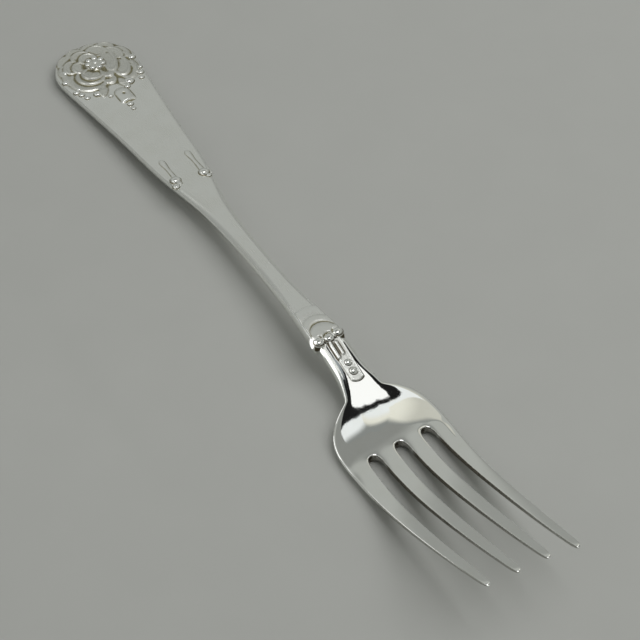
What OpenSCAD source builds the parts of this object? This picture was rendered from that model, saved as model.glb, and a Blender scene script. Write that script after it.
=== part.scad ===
// Silver dessert fork: a handle with a relief rose, a beaded collar, a fluted neck and four tines.
// Millimetres. The fork lies along X with its tines toward +X and rests on the plane z = 0.

/* [Lengths] */
// Handle, from its round end to the step at the collar
handle_len = 107; // [90:0.5:125]
// Neck, from the collar to the shoulders of the head
neck_len = 11.5; // [8:0.5:18]
// Bowl of the head, from the shoulders to the ends of the slots
bowl_len = 12; // [9:0.5:16]
// Tines, from the ends of the slots to the tips
tine_len = 41.5; // [30:0.5:50]

/* [Handle outline] */
// Width of the handle at its widest, beside the rose
end_w = 18.6; // [14:0.1:24]
// Length of the half-oval that closes the handle
end_round = 9; // [6:0.1:12]
// Straight bit at the very end of the handle
end_flat = 2.4; // [1:0.1:5]
// Width of the blade of the handle
blade_w = 13.2; // [9:0.1:17]
// Distance from the handle's end to the blade width
blade_at = 32; // [26:0.5:38]
// Width beside the drops
drop_w = 10.3; // [8.8:0.1:14]
// Distance from the handle's end to the drop width
drop_at = 48; // [43:0.5:54]
// Width where the blade has narrowed into the stem
throat_w = 5.4; // [3.5:0.1:8]
// Distance from the handle's end to the throat width
throat_at = 64; // [60:0.5:72]
// Width of the stem at its narrowest
stem_w = 4.2; // [3:0.1:6]
// Distance from the handle's end to the narrowest stem
stem_at = 88; // [78:0.5:96]
// Width of the handle at the collar
collar_w = 6.8; // [6.2:0.1:9]

/* [Thickness and height] */
// Thickness of the handle at its end
end_t = 2; // [1.4:0.1:3]
// Thickness of the stem at the collar
stem_t = 3.2; // [2:0.1:4.5]
// Thickness of the head at the shoulders
shoulder_t = 2.8; // [2:0.1:4]
// Thickness of the head at the slots
heel_t = 2; // [1.4:0.1:3]
// Thickness of the tines at the tips
tip_t = 1; // [0.6:0.1:1.6]
// Depth of metal worn flat where the fork rests
rest_cut = 0.08; // [0.04:0.01:0.2]
// Height of the handle's top at the collar
collar_z = 7.2; // [5.5:0.1:10]
// Height of the head's top at the shoulders
shoulder_z = 3.9; // [3.2:0.1:6]
// Fullness of the bowl's shoulders in plan
shoulder_round = 4; // [2:0.5:6]
// Height of the tine tips
tip_z = 13.6; // [8:0.1:20]
// Blend radius of the heel, toward the neck
heel_blend = 8; // [3:0.1:14]
// Blend radius of the curve of the tines
tine_blend = 14; // [8:0.5:24]
// Flat stretch of the bowl, from the slot ends to where the tines start to rise
tine_lift = 3; // [1:0.1:6]
// Edge rounding of the blade, the neck and the head
edge_r = 0.45; // [0.2:0.05:0.8]
// Edge rounding of the stem
stem_edge_r = 1; // [0.5:0.05:1.4]

/* [Neck and tines] */
// Width of the neck at the collar
neck_w = 5.4; // [4.6:0.1:6.2]
// Width of the neck at the shoulders
shoulder_w = 7.9; // [6.2:0.1:10]
// Distance between neighbouring tines at the slot ends
tine_pitch = 5.82; // [5:0.02:7]
// Outward bulge of the tine spacing half way along
tine_bulge = 0.2; // [0:0.02:0.5]
// Width of the slots at their ends
slot_w = 2.5; // [1.8:0.05:3.2]
// Extra width of the bowl and of the outer tines' roots on their outer sides
root_flare = 0.6; // [0:0.05:1.2]
// Length over which the flare of the outer tines fades
flare_len = 18; // [8:0.5:28]
// Width of a tine before its tip is rounded
tip_w = 1.72; // [1.2:0.05:2.4]
// Length of the rounded tip of a tine
tip_round = 2.4; // [1.2:0.1:4]
// Width of the blunt point
tip_flat = 0.6; // [0.4:0.05:1]

/* [Rose] */
// Distance from the handle's end to the middle of the rose
rose_at = 8.5; // [8.3:0.1:9.6]
// Reach of the outer petals
rose_r = 6.5; // [5.8:0.05:6.7]
// Reach of the inner petals
inner_r = 4.3; // [3.6:0.05:5]
// Radius of the heart
heart_r = 1.7; // [1.3:0.05:2]
// Relief of the heart
heart_h = 1.3; // [0.8:0.05:1.8]
// Relief of the inner petals
inner_h = 1.1; // [0.6:0.05:1.6]
// Relief of the outer petals
outer_h = 0.85; // [0.5:0.05:1.3]
// Number of inner petals
inner_count = 3; // [3:1:6]
// Number of outer petals
outer_count = 5; // [5:1:8]
// Turn of the first inner petal, in degrees from the fork's axis
inner_turn = 0; // [-60:5:60]
// Turn of the first outer petal, in degrees from the fork's axis
outer_turn = -40; // [-60:5:60]
// Diameter of the seed beads round the heart
seed_d = 0.9; // [0.6:0.05:1.1]
// Number of seed beads
seed_count = 9; // [5:1:10]
// Length of a leaf
leaf_len = 2.2; // [1.6:0.1:2.3]
// Width of a leaf
leaf_w = 1.7; // [1:0.1:1.8]
// Relief of a leaf
leaf_h = 0.6; // [0.3:0.05:1]
// Diameter of a border bead
border_d = 1.1; // [0.7:0.05:1.2]

/* [Pendant and drops] */
// Distance from the handle's end to the lower end of the hanging bud
bud_at = 23.6; // [23:0.1:26]
// Length of the bud
bud_len = 4.6; // [3.4:0.1:5.2]
// Width of the bud
bud_w = 3.2; // [2:0.1:3.4]
// Relief of the bud
bud_h = 0.8; // [0.4:0.05:1.2]
// Diameter of the bead below the bud
pendant_d = 1.3; // [0.8:0.05:1.5]
// Diameter of the last bead of the pendant
pendant_tail_d = 1; // [0.6:0.05:1.1]
// Gap between those two beads
pendant_gap = 0.5; // [0.2:0.05:1]
// Distance from the handle's end to the drop beads
drop_bead_at = 52.3; // [50:0.1:54]
// Distance between the two drops
drop_gap = 6; // [4:0.1:6.2]
// Diameter of a drop's bead
drop_d = 2.5; // [1.6:0.1:2.6]
// Length of a drop's stem
drop_len = 6.6; // [4:0.1:9]
// Diameter of the stem where it meets the bead
drop_stem_d = 0.9; // [0.6:0.05:1.4]
// Diameter of the stem's far end
drop_tail_d = 1.3; // [0.7:0.05:1.6]

/* [Collar and neck ornament] */
// Radius of the shell behind the collar beads
shell_r = 2.9; // [2:0.05:3]
// Relief of the shell
shell_h = 0.75; // [0.4:0.05:1.2]
// Width of the groove round the shell
shell_gap = 0.5; // [0.3:0.05:0.8]
// Width of the low ridge outside that groove
ridge_w = 0.6; // [0.3:0.05:0.8]
// Relief of the low ridge
ridge_h = 0.3; // [0.15:0.05:0.5]
// Diameter of a collar bead
collar_d = 2; // [1.4:0.05:2.05]
// Distance between neighbouring collar beads
collar_gap = 2.12; // [2.06:0.02:2.2]
// Length of the raised panel on the neck
panel_len = 9.3; // [6:0.1:10.5]
// Width of the panel at the collar
panel_w = 3; // [2.8:0.1:4.2]
// Width of the panel's far end
panel_tip_w = 2.6; // [1.6:0.1:3.6]
// Relief of the panel
panel_h = 0.55; // [0.3:0.05:0.9]
// Length of the two flutes in the panel
flute_len = 4; // [2:0.1:4.4]
// Diameter of a flute
flute_d = 1; // [0.6:0.05:1.1]
// Diameter of the beads on the panel
neck_d = 1.2; // [0.8:0.05:1.4]
// Distance from the collar to the first of those beads
neck_bead_at = 5.6; // [5.2:0.1:6.2]
// Distance from that bead to the second
neck_bead_gap = 2.1; // [1.5:0.1:2.6]

/* [Hidden] */
$fn = 96;
silver = [0.74, 0.74, 0.72];
tarnish = [0.58, 0.57, 0.52];
// Facets: steps of a rounded edge, and the longest step along the fork
arc_steps = 3;
span_step = 3;
tiny = 0.01;
big = 400;
// Shares of a size: a bead's height, a petal's radius, hollow and hollow depth, and a round edge's limits
bead_rise = 0.42;
inner_share = 0.5;
outer_share = 0.46;
cup_shift = 0.3;
cup_share = 1.3;
cup_floor = 0.45;
edge_share_t = 0.45;
edge_share_w = 0.9;
// How the flare of the outer tines fades: 1 evenly, more for a quicker start
flare_power = 1.5;

total_len = handle_len + neck_len + bowl_len + tine_len;
end_x = -total_len / 2;
collar_x = end_x + handle_len;
head_x = collar_x + neck_len;
root_x = head_x + bowl_len;
slot_x = root_x + slot_w / 2;
lift_x = root_x + tine_lift;
tip_x = total_len / 2;

tine_root_w = tine_pitch - slot_w;
head_half = 1.5 * tine_pitch + tine_root_w / 2 + root_flare;
floor_z = heel_t - rest_cut;
collar_bead_at = handle_len - collar_d / 2;
shell_at = collar_bead_at - collar_d / 2;
seed_ring_r = heart_r + seed_d / 2;

// Rise of a curve that leaves the level and straightens: d along it, r its blend radius
function rise(d, r) = sqrt(d * d + r * r) - r;
neck_grade = (shoulder_z - floor_z) / rise(bowl_len, heel_blend);
tine_grade = (tip_z - floor_z) / rise(tip_x - lift_x, tine_blend);
neck_slope = neck_grade * bowl_len / sqrt(bowl_len * bowl_len + heel_blend * heel_blend);
neck_tilt = atan(neck_slope);

// The handle's top is one plane, from the resting end up to the collar
rest_x = end_x + end_round / 3;
handle_slope = (collar_z - end_t + rest_cut) / (collar_x - rest_x);
handle_tilt = atan(handle_slope);
function handle_top(x) = collar_z + handle_slope * (x - collar_x);
function neck_top(x) = shoulder_z + neck_slope * (head_x - x);
function bowl_top(x) = floor_z
    + neck_grade * rise(max(0, root_x - x), heel_blend)
    + tine_grade * rise(max(0, x - lift_x), tine_blend);

// Smooth curve through [position, value] points, with the slope at a point set by its neighbours
function slope_at(p, i) = let (a = max(0, i - 1), b = min(len(p) - 1, i + 1))
    (p[b][1] - p[a][1]) / (p[b][0] - p[a][0]);
function span_of(p, x, i = 0) = i >= len(p) - 2 || x < p[i + 1][0] ? i : span_of(p, x, i + 1);
function hermite(a, b, sa, sb, d, u) = a * (1 + 2 * u) * pow(1 - u, 2) + b * u * u * (3 - 2 * u)
    + d * (sa * u * pow(1 - u, 2) - sb * u * u * (1 - u));
function curve(p, x) = let (i = span_of(p, x), d = p[i + 1][0] - p[i][0])
    hermite(p[i][1], p[i + 1][1], slope_at(p, i), slope_at(p, i + 1), d, (x - p[i][0]) / d);

handle_outline = [
    [end_x + end_round, end_w / 2],
    [end_x + blade_at, blade_w / 2],
    [end_x + drop_at, drop_w / 2],
    [end_x + throat_at, throat_w / 2],
    [end_x + stem_at, stem_w / 2],
    [collar_x, collar_w / 2]
];
function handle_half(x) = x < end_x + end_round
    ? max(end_flat / 2, end_w / 2 * sqrt(1 - pow(1 - (x - end_x) / end_round, 2)))
    : curve(handle_outline, x);
function handle_t(x) = lookup(x, [[end_x + drop_at, end_t], [end_x + stem_at, stem_t]]);
function handle_edge(x) = lookup(x, [[end_x + drop_at, edge_r], [end_x + throat_at, stem_edge_r],
    [end_x + stem_at, stem_edge_r], [end_x + shell_at, edge_r]]);

function neck_half(x) = lookup(x, [[collar_x, neck_w / 2], [(collar_x + head_x) / 2, neck_w / 2],
    [head_x, shoulder_w / 2]]);
function head_half_at(x) = shoulder_w / 2
    + (head_half - shoulder_w / 2) * (1 - pow(1 - (x - head_x) / (slot_x - head_x), shoulder_round));
function head_t(x) = lookup(x, [[head_x, shoulder_t], [root_x, heel_t], [tip_x, tip_t]]);

function tine_part(x) = (x - slot_x) / (tip_x - slot_x);
function tine_y(lane, x) = lane * (tine_pitch + tine_bulge * 4 * tine_part(x) * (1 - tine_part(x)));
function tine_taper(x) = tine_root_w + (tip_w - tine_root_w) * tine_part(x);
function flare(lane, x) = abs(lane) < 1 ? 0
    : root_flare * pow(max(0, 1 - (x - slot_x) / flare_len), flare_power);
function tine_w(x) = x < tip_x - tip_round ? tine_taper(x)
    : max(tip_flat, tine_taper(x) * sqrt(1 - pow((x - tip_x + tip_round) / tip_round, 2)));

// Solid through rounded sections, each [x, y, half width, low z, high z, edge rounding]
function corner(y, z, r, turn) = [for (i = [0:arc_steps]) let (a = turn + 90 * i / arc_steps)
    [y + r * cos(a), z + r * sin(a)]];
function ring(s) = let (r = min(s[5], edge_share_t * (s[4] - s[3]), edge_share_w * s[2]), w = s[2] - r)
    [for (p = concat(corner(s[1] + w, s[4] - r, r, 0), corner(s[1] - w, s[4] - r, r, 90),
        corner(s[1] - w, s[3] + r, r, 180), corner(s[1] + w, s[3] + r, r, 270))) [s[0], p[0], p[1]]];

module loft(sections) {
    n = 4 * (arc_steps + 1);
    last = len(sections) - 1;
    points = [for (s = sections) each ring(s)];
    sides = [for (i = [0:last - 1], j = [0:n - 1])
        let (a = i * n + j, b = i * n + (j + 1) % n)
        each [[a, a + n, b + n], [a, b + n, b]]];
    caps = [[for (j = [0:n - 1]) j], [for (j = [n - 1:-1:0]) last * n + j]];
    polyhedron(points, concat(sides, caps));
}

// Keeps what is above the table, so that the resting places are true flats
module above_table() {
    difference() {
        children();
        translate([-big / 2, -big / 2, -big])
            cube([big, big, big]);
    }
}

// Frames of the ornaments, with z = 0 on the metal that carries them
module on_handle(from_end, y = 0) {
    x = end_x + from_end;
    translate([x, y, handle_top(x)])
        rotate([0, -handle_tilt, 0])
            children();
}
module on_neck(from_collar) {
    x = collar_x + from_collar;
    translate([x, 0, neck_top(x)])
        rotate([0, neck_tilt, 0])
            children();
}

// Round cap with a flat base of radius r and a height h
module cap(r, h) {
    ball = (r * r + h * h) / (2 * h);
    intersection() {
        translate([0, 0, h - ball])
            sphere(ball);
        translate([-ball, -ball, 0])
            cube([2 * ball, 2 * ball, h]);
    }
}

// Bead that sits a little sunk into the metal
module bead(d) {
    cap(d / 2, bead_rise * d);
}

// Pointed leaf with a domed top, along X
module leaf(length, width, height) {
    r = (length * length + width * width) / (4 * width);
    intersection() {
        linear_extrude(height)
            intersection() {
                translate([0, width / 2 - r])
                    circle(r);
                translate([0, r - width / 2])
                    circle(r);
            }
        cap(length / 2 + tiny, height);
    }
}

// Cupped petal: a cap with a hollow on the side toward the heart
module petal(r, h) {
    difference() {
        cap(r, h);
        translate([-cup_shift * r, 0, cup_floor * h + cup_share * r])
            sphere(cup_share * r);
    }
}

module petal_ring(count, reach, r, h, turn) {
    for (i = [0:count - 1])
        rotate([0, 0, turn + 360 * i / count])
            translate([reach - r, 0, 0])
                petal(r, h);
}

module handle() {
    end_steps = 8;
    span = handle_len - end_round;
    steps = ceil(span / span_step);
    xs = concat([for (i = [0:end_steps - 1]) end_x + end_round * pow(i / end_steps, 2)],
        [for (i = [0:steps]) end_x + end_round + span * i / steps]);
    color(silver)
        above_table()
            loft([for (x = xs)
                [x, 0, handle_half(x), handle_top(x) - handle_t(x), handle_top(x), handle_edge(x)]]);
}

module rose_heart() {
    color(silver)
        on_handle(rose_at)
            cap(heart_r, heart_h);
}

module rose_seeds() {
    color(silver)
        on_handle(rose_at)
            difference() {
                for (i = [0:seed_count - 1])
                    rotate([0, 0, 360 * i / seed_count])
                        translate([seed_ring_r, 0, 0])
                            cap(seed_d / 2, seed_d);
                cap(heart_r, heart_h);
            }
}

module rose_inner_petals() {
    color(silver)
        on_handle(rose_at)
            difference() {
                petal_ring(inner_count, inner_r, inner_share * inner_r, inner_h, inner_turn);
                cylinder(r = seed_ring_r + seed_d / 2, h = big, center = true);
            }
}

module rose_outer_petals() {
    color(silver)
        on_handle(rose_at)
            difference() {
                petal_ring(outer_count, rose_r, outer_share * rose_r, outer_h, outer_turn);
                cylinder(r = inner_r, h = big, center = true);
            }
}

leaf_turns = [45, 100, 130, 160, 200, 225, 250, 290, 315];
leaf_ring_r = rose_r + leaf_len / 4;

module rose_leaves() {
    color(tarnish)
        on_handle(rose_at)
            difference() {
                for (turn = leaf_turns)
                    rotate([0, 0, turn])
                        translate([leaf_ring_r, 0, 0])
                            leaf(leaf_len, leaf_w, leaf_h);
                cylinder(r = rose_r, h = big, center = true);
            }
}

// Places of the border beads, from the middle of the rose
border_spots = [[-0.9, -7.1], [2.2, -8.4], [5.7, -6.7], [6.5, -7.9], [7.8, -7.3], [9.3, -6.7], [9.3, -4.3],
    [11.3, -2.2], [1.3, 7.9], [5.3, 8], [7.2, 7.1], [8.9, 6.4], [8.8, 3.4], [10.2, 2.3]];

module border_beads() {
    color(silver)
        for (spot = border_spots)
            on_handle(rose_at + spot[0], spot[1])
                bead(border_d);
}

module bud_pendant() {
    color(silver)
        on_handle(bud_at - bud_len / 2)
            leaf(bud_len, bud_w, bud_h);
}

module pendant_beads() {
    color(silver) {
        on_handle(bud_at + pendant_d / 2)
            bead(pendant_d);
        on_handle(bud_at + pendant_d + pendant_gap + pendant_tail_d / 2)
            bead(pendant_tail_d);
    }
}

module drop_beads() {
    color(silver)
        for (side = [-1, 1])
            on_handle(drop_bead_at, side * drop_gap / 2)
                bead(drop_d);
}

module drop_stems() {
    color(silver)
        for (side = [-1, 1])
            on_handle(drop_bead_at, side * drop_gap / 2)
                difference() {
                    union() {
                        rotate([0, -90, 0])
                            cylinder(d1 = drop_stem_d, d2 = drop_tail_d, h = drop_len);
                        translate([-drop_len, 0, 0])
                            sphere(d = drop_tail_d);
                    }
                    bead(drop_d);
                    translate([-big / 2, -big / 2, -big])
                        cube([big, big, big]);
                }
}

module collar_shell() {
    ridge_in = shell_r + shell_gap;
    ridge_turn = asin(stem_w / 2 / (ridge_in + ridge_w));
    color(silver)
        on_handle(shell_at) {
            intersection() {
                cap(shell_r, shell_h);
                translate([-shell_r, -shell_r, 0])
                    cube([shell_r, 2 * shell_r, shell_h]);
            }
            rotate([0, 0, 180 - ridge_turn])
                rotate_extrude(angle = 2 * ridge_turn)
                    translate([ridge_in, 0])
                        square([ridge_w, ridge_h]);
        }
}

module collar_beads() {
    color(silver)
        for (lane = [-1:1])
            on_handle(collar_bead_at, lane * collar_gap)
                bead(collar_d);
}

module neck() {
    steps = 8;
    color(silver)
        loft([for (i = [0:steps]) let (x = collar_x + neck_len * i / steps)
            [x, 0, neck_half(x), neck_top(x) - shoulder_t, neck_top(x), edge_r]]);
}

module neck_panel() {
    flute_y = panel_w / 4;
    color(silver)
        on_neck(0)
            difference() {
                linear_extrude(panel_h)
                    polygon([[0, -panel_w / 2], [panel_len, -panel_tip_w / 2], [panel_len, panel_tip_w / 2],
                        [0, panel_w / 2]]);
                for (side = [-1, 1])
                    translate([0, side * flute_y, panel_h])
                        rotate([0, 90, 0])
                            cylinder(d = flute_d, h = 2 * flute_len, center = true);
            }
}

module neck_beads() {
    color(silver)
        for (at = [neck_bead_at, neck_bead_at + neck_bead_gap])
            on_neck(at)
                translate([0, 0, panel_h])
                    bead(neck_d);
}

module head() {
    steps = 12;
    xs = [for (i = [0:steps]) head_x + (slot_x - head_x) * pow(i / steps, 2)];
    color(silver)
        above_table()
            difference() {
                loft([for (x = xs)
                    [x, 0, head_half_at(x), bowl_top(x) - head_t(x), bowl_top(x), edge_r]]);
                for (lane = [-1:1])
                    translate([slot_x, lane * tine_pitch, 0])
                        cylinder(d = slot_w, h = big, center = true);
            }
}

// One tine: lane counts pitches from the middle of the fork
module tine(lane) {
    tip_steps = 6;
    span = tip_x - tip_round - slot_x;
    steps = ceil(span / span_step);
    xs = concat([for (i = [0:steps - 1]) slot_x + span * i / steps],
        [for (i = [0:tip_steps]) tip_x - tip_round * pow(1 - i / tip_steps, 2)]);
    above_table()
        loft([for (x = xs)
            let (extra = flare(lane, x) / 2)
                [x, tine_y(lane, x) + sign(lane) * extra, tine_w(x) / 2 + extra,
                    bowl_top(x) - head_t(x), bowl_top(x), edge_r]]);
}

module tine_outer_left() {
    color(silver)
        tine(1.5);
}

module tine_inner_left() {
    color(silver)
        tine(0.5);
}

module tine_inner_right() {
    color(silver)
        tine(-0.5);
}

module tine_outer_right() {
    color(silver)
        tine(-1.5);
}

handle();
rose_heart();
rose_seeds();
rose_inner_petals();
rose_outer_petals();
rose_leaves();
border_beads();
bud_pendant();
pendant_beads();
drop_beads();
drop_stems();
collar_shell();
collar_beads();
neck();
neck_panel();
neck_beads();
head();
tine_outer_left();
tine_inner_left();
tine_inner_right();
tine_outer_right();
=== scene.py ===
"""Dessert fork with a relief rose: visual model, finishes and studio stage."""
import math
from typing import NamedTuple

import bmesh
import bpy
import numpy as np
from bpy.props import FloatProperty, FloatVectorProperty, IntProperty, PointerProperty
from mathutils import Matrix, Vector


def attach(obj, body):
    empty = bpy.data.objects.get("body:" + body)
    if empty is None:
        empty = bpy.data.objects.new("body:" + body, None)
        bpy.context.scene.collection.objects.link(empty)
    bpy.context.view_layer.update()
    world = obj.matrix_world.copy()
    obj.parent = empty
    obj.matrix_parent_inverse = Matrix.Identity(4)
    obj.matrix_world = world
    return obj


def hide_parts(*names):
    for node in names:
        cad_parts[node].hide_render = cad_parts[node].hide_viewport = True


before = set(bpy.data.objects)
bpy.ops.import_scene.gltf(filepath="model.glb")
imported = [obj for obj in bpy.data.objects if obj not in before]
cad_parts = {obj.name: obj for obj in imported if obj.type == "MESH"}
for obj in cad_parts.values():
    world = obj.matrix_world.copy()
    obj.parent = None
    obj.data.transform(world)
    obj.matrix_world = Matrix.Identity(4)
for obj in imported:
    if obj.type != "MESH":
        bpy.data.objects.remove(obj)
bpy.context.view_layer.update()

bl_info = {
    "name": "Dessert fork builder",
    "version": (1, 0, 0),
    "blender": (4, 5, 0),
    "location": "3D View > Sidebar > Fork",
    "description": "Builds a silver dessert fork with a relief rose, its finishes and its studio stage",
    "category": "Add Mesh",
}

MM = 0.001
# Name of the point value that marks tarnish, and on some pieces painted shade.
TARNISH_SHADE_ATTRIBUTE = "grime"
WEAR = "wear"
TINY = 1e-6
# Left is the -Y side here and right the +Y side, as in the main view. The names of the tines' nodes say it
# the other way round, as seen from the handle.
TINE_NODES = ("tine_outer_right", "tine_inner_right", "tine_inner_left", "tine_outer_left")


def length(label, description, millimetres):
    """A length property that is given here in millimetres and kept in metres."""
    return FloatProperty(name=label, description=description, default=millimetres * MM,
                         unit="LENGTH", subtype="DISTANCE", precision=5)


def amount(label, description, value):
    """A plain number, such as a roughness or a brightness."""
    return FloatProperty(name=label, description=description, default=value)


def tint(label, description, *value):
    """A colour."""
    return FloatVectorProperty(name=label, description=description, default=value, subtype="COLOR", size=3)


class ForkSizes(bpy.types.PropertyGroup):
    """Sizes of the struck blank: handle, neck, bowl and tines."""

    handle_len: length("Handle", "Length from the handle's end to the collar", 107)
    neck_len: length("Neck", "Length from the collar to the bowl", 11.5)
    bowl_len: length("Bowl", "Length from the shoulders to the tines' roots", 12)
    tine_len: length("Tines", "Length from the roots to the tips", 41.5)
    end_w: length("End width", "Widest part of the handle, near its end", 18.6)
    end_round: length("End round", "Length of the half oval that closes the handle", 9)
    end_t: length("End thickness", "Thickness of the handle's broad end", 2)
    stem_t: length("Stem thickness", "Thickness of the handle's slender part", 3.2)
    collar_z: length("Collar height", "Height of the handle's top at the collar", 7.2)
    shoulder_z: length("Shoulder height", "Height of the top where the neck meets the bowl", 3.9)
    floor_z: length("Bowl height", "Height of the bowl's top at its lowest", 1.92)
    tip_z: length("Tip height", "Height of the tines' tips", 13.6)
    neck_w: length("Neck width", "Width of the neck", 5.4)
    shoulder_w: length("Shoulder width", "Width where the neck meets the bowl", 7.9)
    head_w: length("Head width", "Width over the outer tines at their roots", 21.98)
    root_flare: length("Root flare", "Extra width of the outer tines' roots on their outer sides", 0.6)
    flare_len: length("Flare length", "Length over which the outer tines' flare fades", 18)
    pitch: length("Tine pitch", "Distance between the middles of two tines", 5.82)
    slot_w: length("Slot width", "Width of a slot at its end", 2.5)
    tip_w: length("Tip width", "Width of a tine near its tip", 1.72)
    levels: IntProperty(name="Subdivision", description="Subdivision steps of the blank", default=3)


class OrnamentSizes(bpy.types.PropertyGroup):
    """Places and heights of the relief."""

    rose_x: length("Rose place", "Distance of the rose's heart from the handle's end", 8.1)
    rose_y: length("Rose shift", "Shift of the rose's heart from the middle line", 0)
    heart_r: length("Heart", "Radius of the rose's heart", 1.75)
    seed_d: length("Seed", "Width of a seed bead", 1.3)
    relief_h: length("Relief", "Height of the rose's inner petals", 1.0)
    cell: length("Relief cell", "Width of the relief's mesh cells", 0.095)


class FinishSettings(bpy.types.PropertyGroup):
    """Colours and polish of the silver and the floor."""

    silver: tint("Silver", "Colour of clean silver", 0.915, 0.925, 0.895)
    tarnish: tint("Tarnish", "Colour of the tarnish in the recesses", 0.3, 0.268, 0.17)
    # The soot colour also paints shade: on the handle's end face at the collar, round the slots' ends and on
    # the tines' walls that face -Y.
    soot: tint("Soot", "Colour of the black tarnish in the deepest lines", 0.13, 0.108, 0.07)
    patina: tint("Patina", "Colour of the olive film in the rose's hollows", 0.36, 0.335, 0.215)
    polish: amount("Polish", "Roughness of the polished neck, bowl and tines", 0.02)
    satin: amount("Satin", "Roughness of the handle's satin face", 0.19)
    relief: amount("Relief", "Roughness of the worn relief", 0.28)
    bead: amount("Bead", "Roughness of the beads", 0.16)
    panel: amount("Panel", "Roughness of the neck's panel", 0.22)
    floor: tint("Floor", "Colour of the floor", 0.53, 0.535, 0.512)


class StageSettings(bpy.types.PropertyGroup):
    """Light levels and camera of the studio."""

    room: amount("Room", "Brightness of the room around the fork", 0.42)
    key: amount("Key light", "Brightness of the large soft light", 1.75)
    glint: amount("Glint light", "Brightness of the small light for glints", 3.6)
    top: amount("Top card", "Brightness of the white card over the bowl", 1.05)
    strip: amount("Strip cards", "Brightness of the long strip of cards beside it", 0.9)
    cream: amount("Cream card", "Brightness of the warm card behind", 0.82)
    side: amount("Side light", "Brightness of the light at the left", 0.75)
    rim: amount("Rim card", "Brightness of the cards beside the bowl's rim and at the collar", 1.5)
    lens: amount("Lens", "Focal length in millimetres", 112.5)


def smooth(low, high, value):
    """0 below low, 1 above high and an eased step between them."""
    t = np.clip((value - low) / (high - low), 0, 1)
    return t * t * (3 - 2 * t)


def hermite(x, knots):
    """An even curve through the knots, with slopes taken from their neighbours."""
    xs, ys = np.array(knots, float).T
    slope = np.empty_like(ys)
    slope[1:-1] = (ys[2:] - ys[:-2]) / (xs[2:] - xs[:-2])
    slope[0] = (ys[1] - ys[0]) / (xs[1] - xs[0])
    slope[-1] = (ys[-1] - ys[-2]) / (xs[-1] - xs[-2])
    i = np.clip(np.searchsorted(xs, x, "right") - 1, 0, len(xs) - 2)
    step = xs[i + 1] - xs[i]
    t = np.clip((x - xs[i]) / step, 0, 1)
    start = (1 + 2 * t) * (1 - t) ** 2 * ys[i] + t * (1 - t) ** 2 * step * slope[i]
    end = t * t * (3 - 2 * t) * ys[i + 1] + t * t * (t - 1) * step * slope[i + 1]
    return start + end


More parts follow.
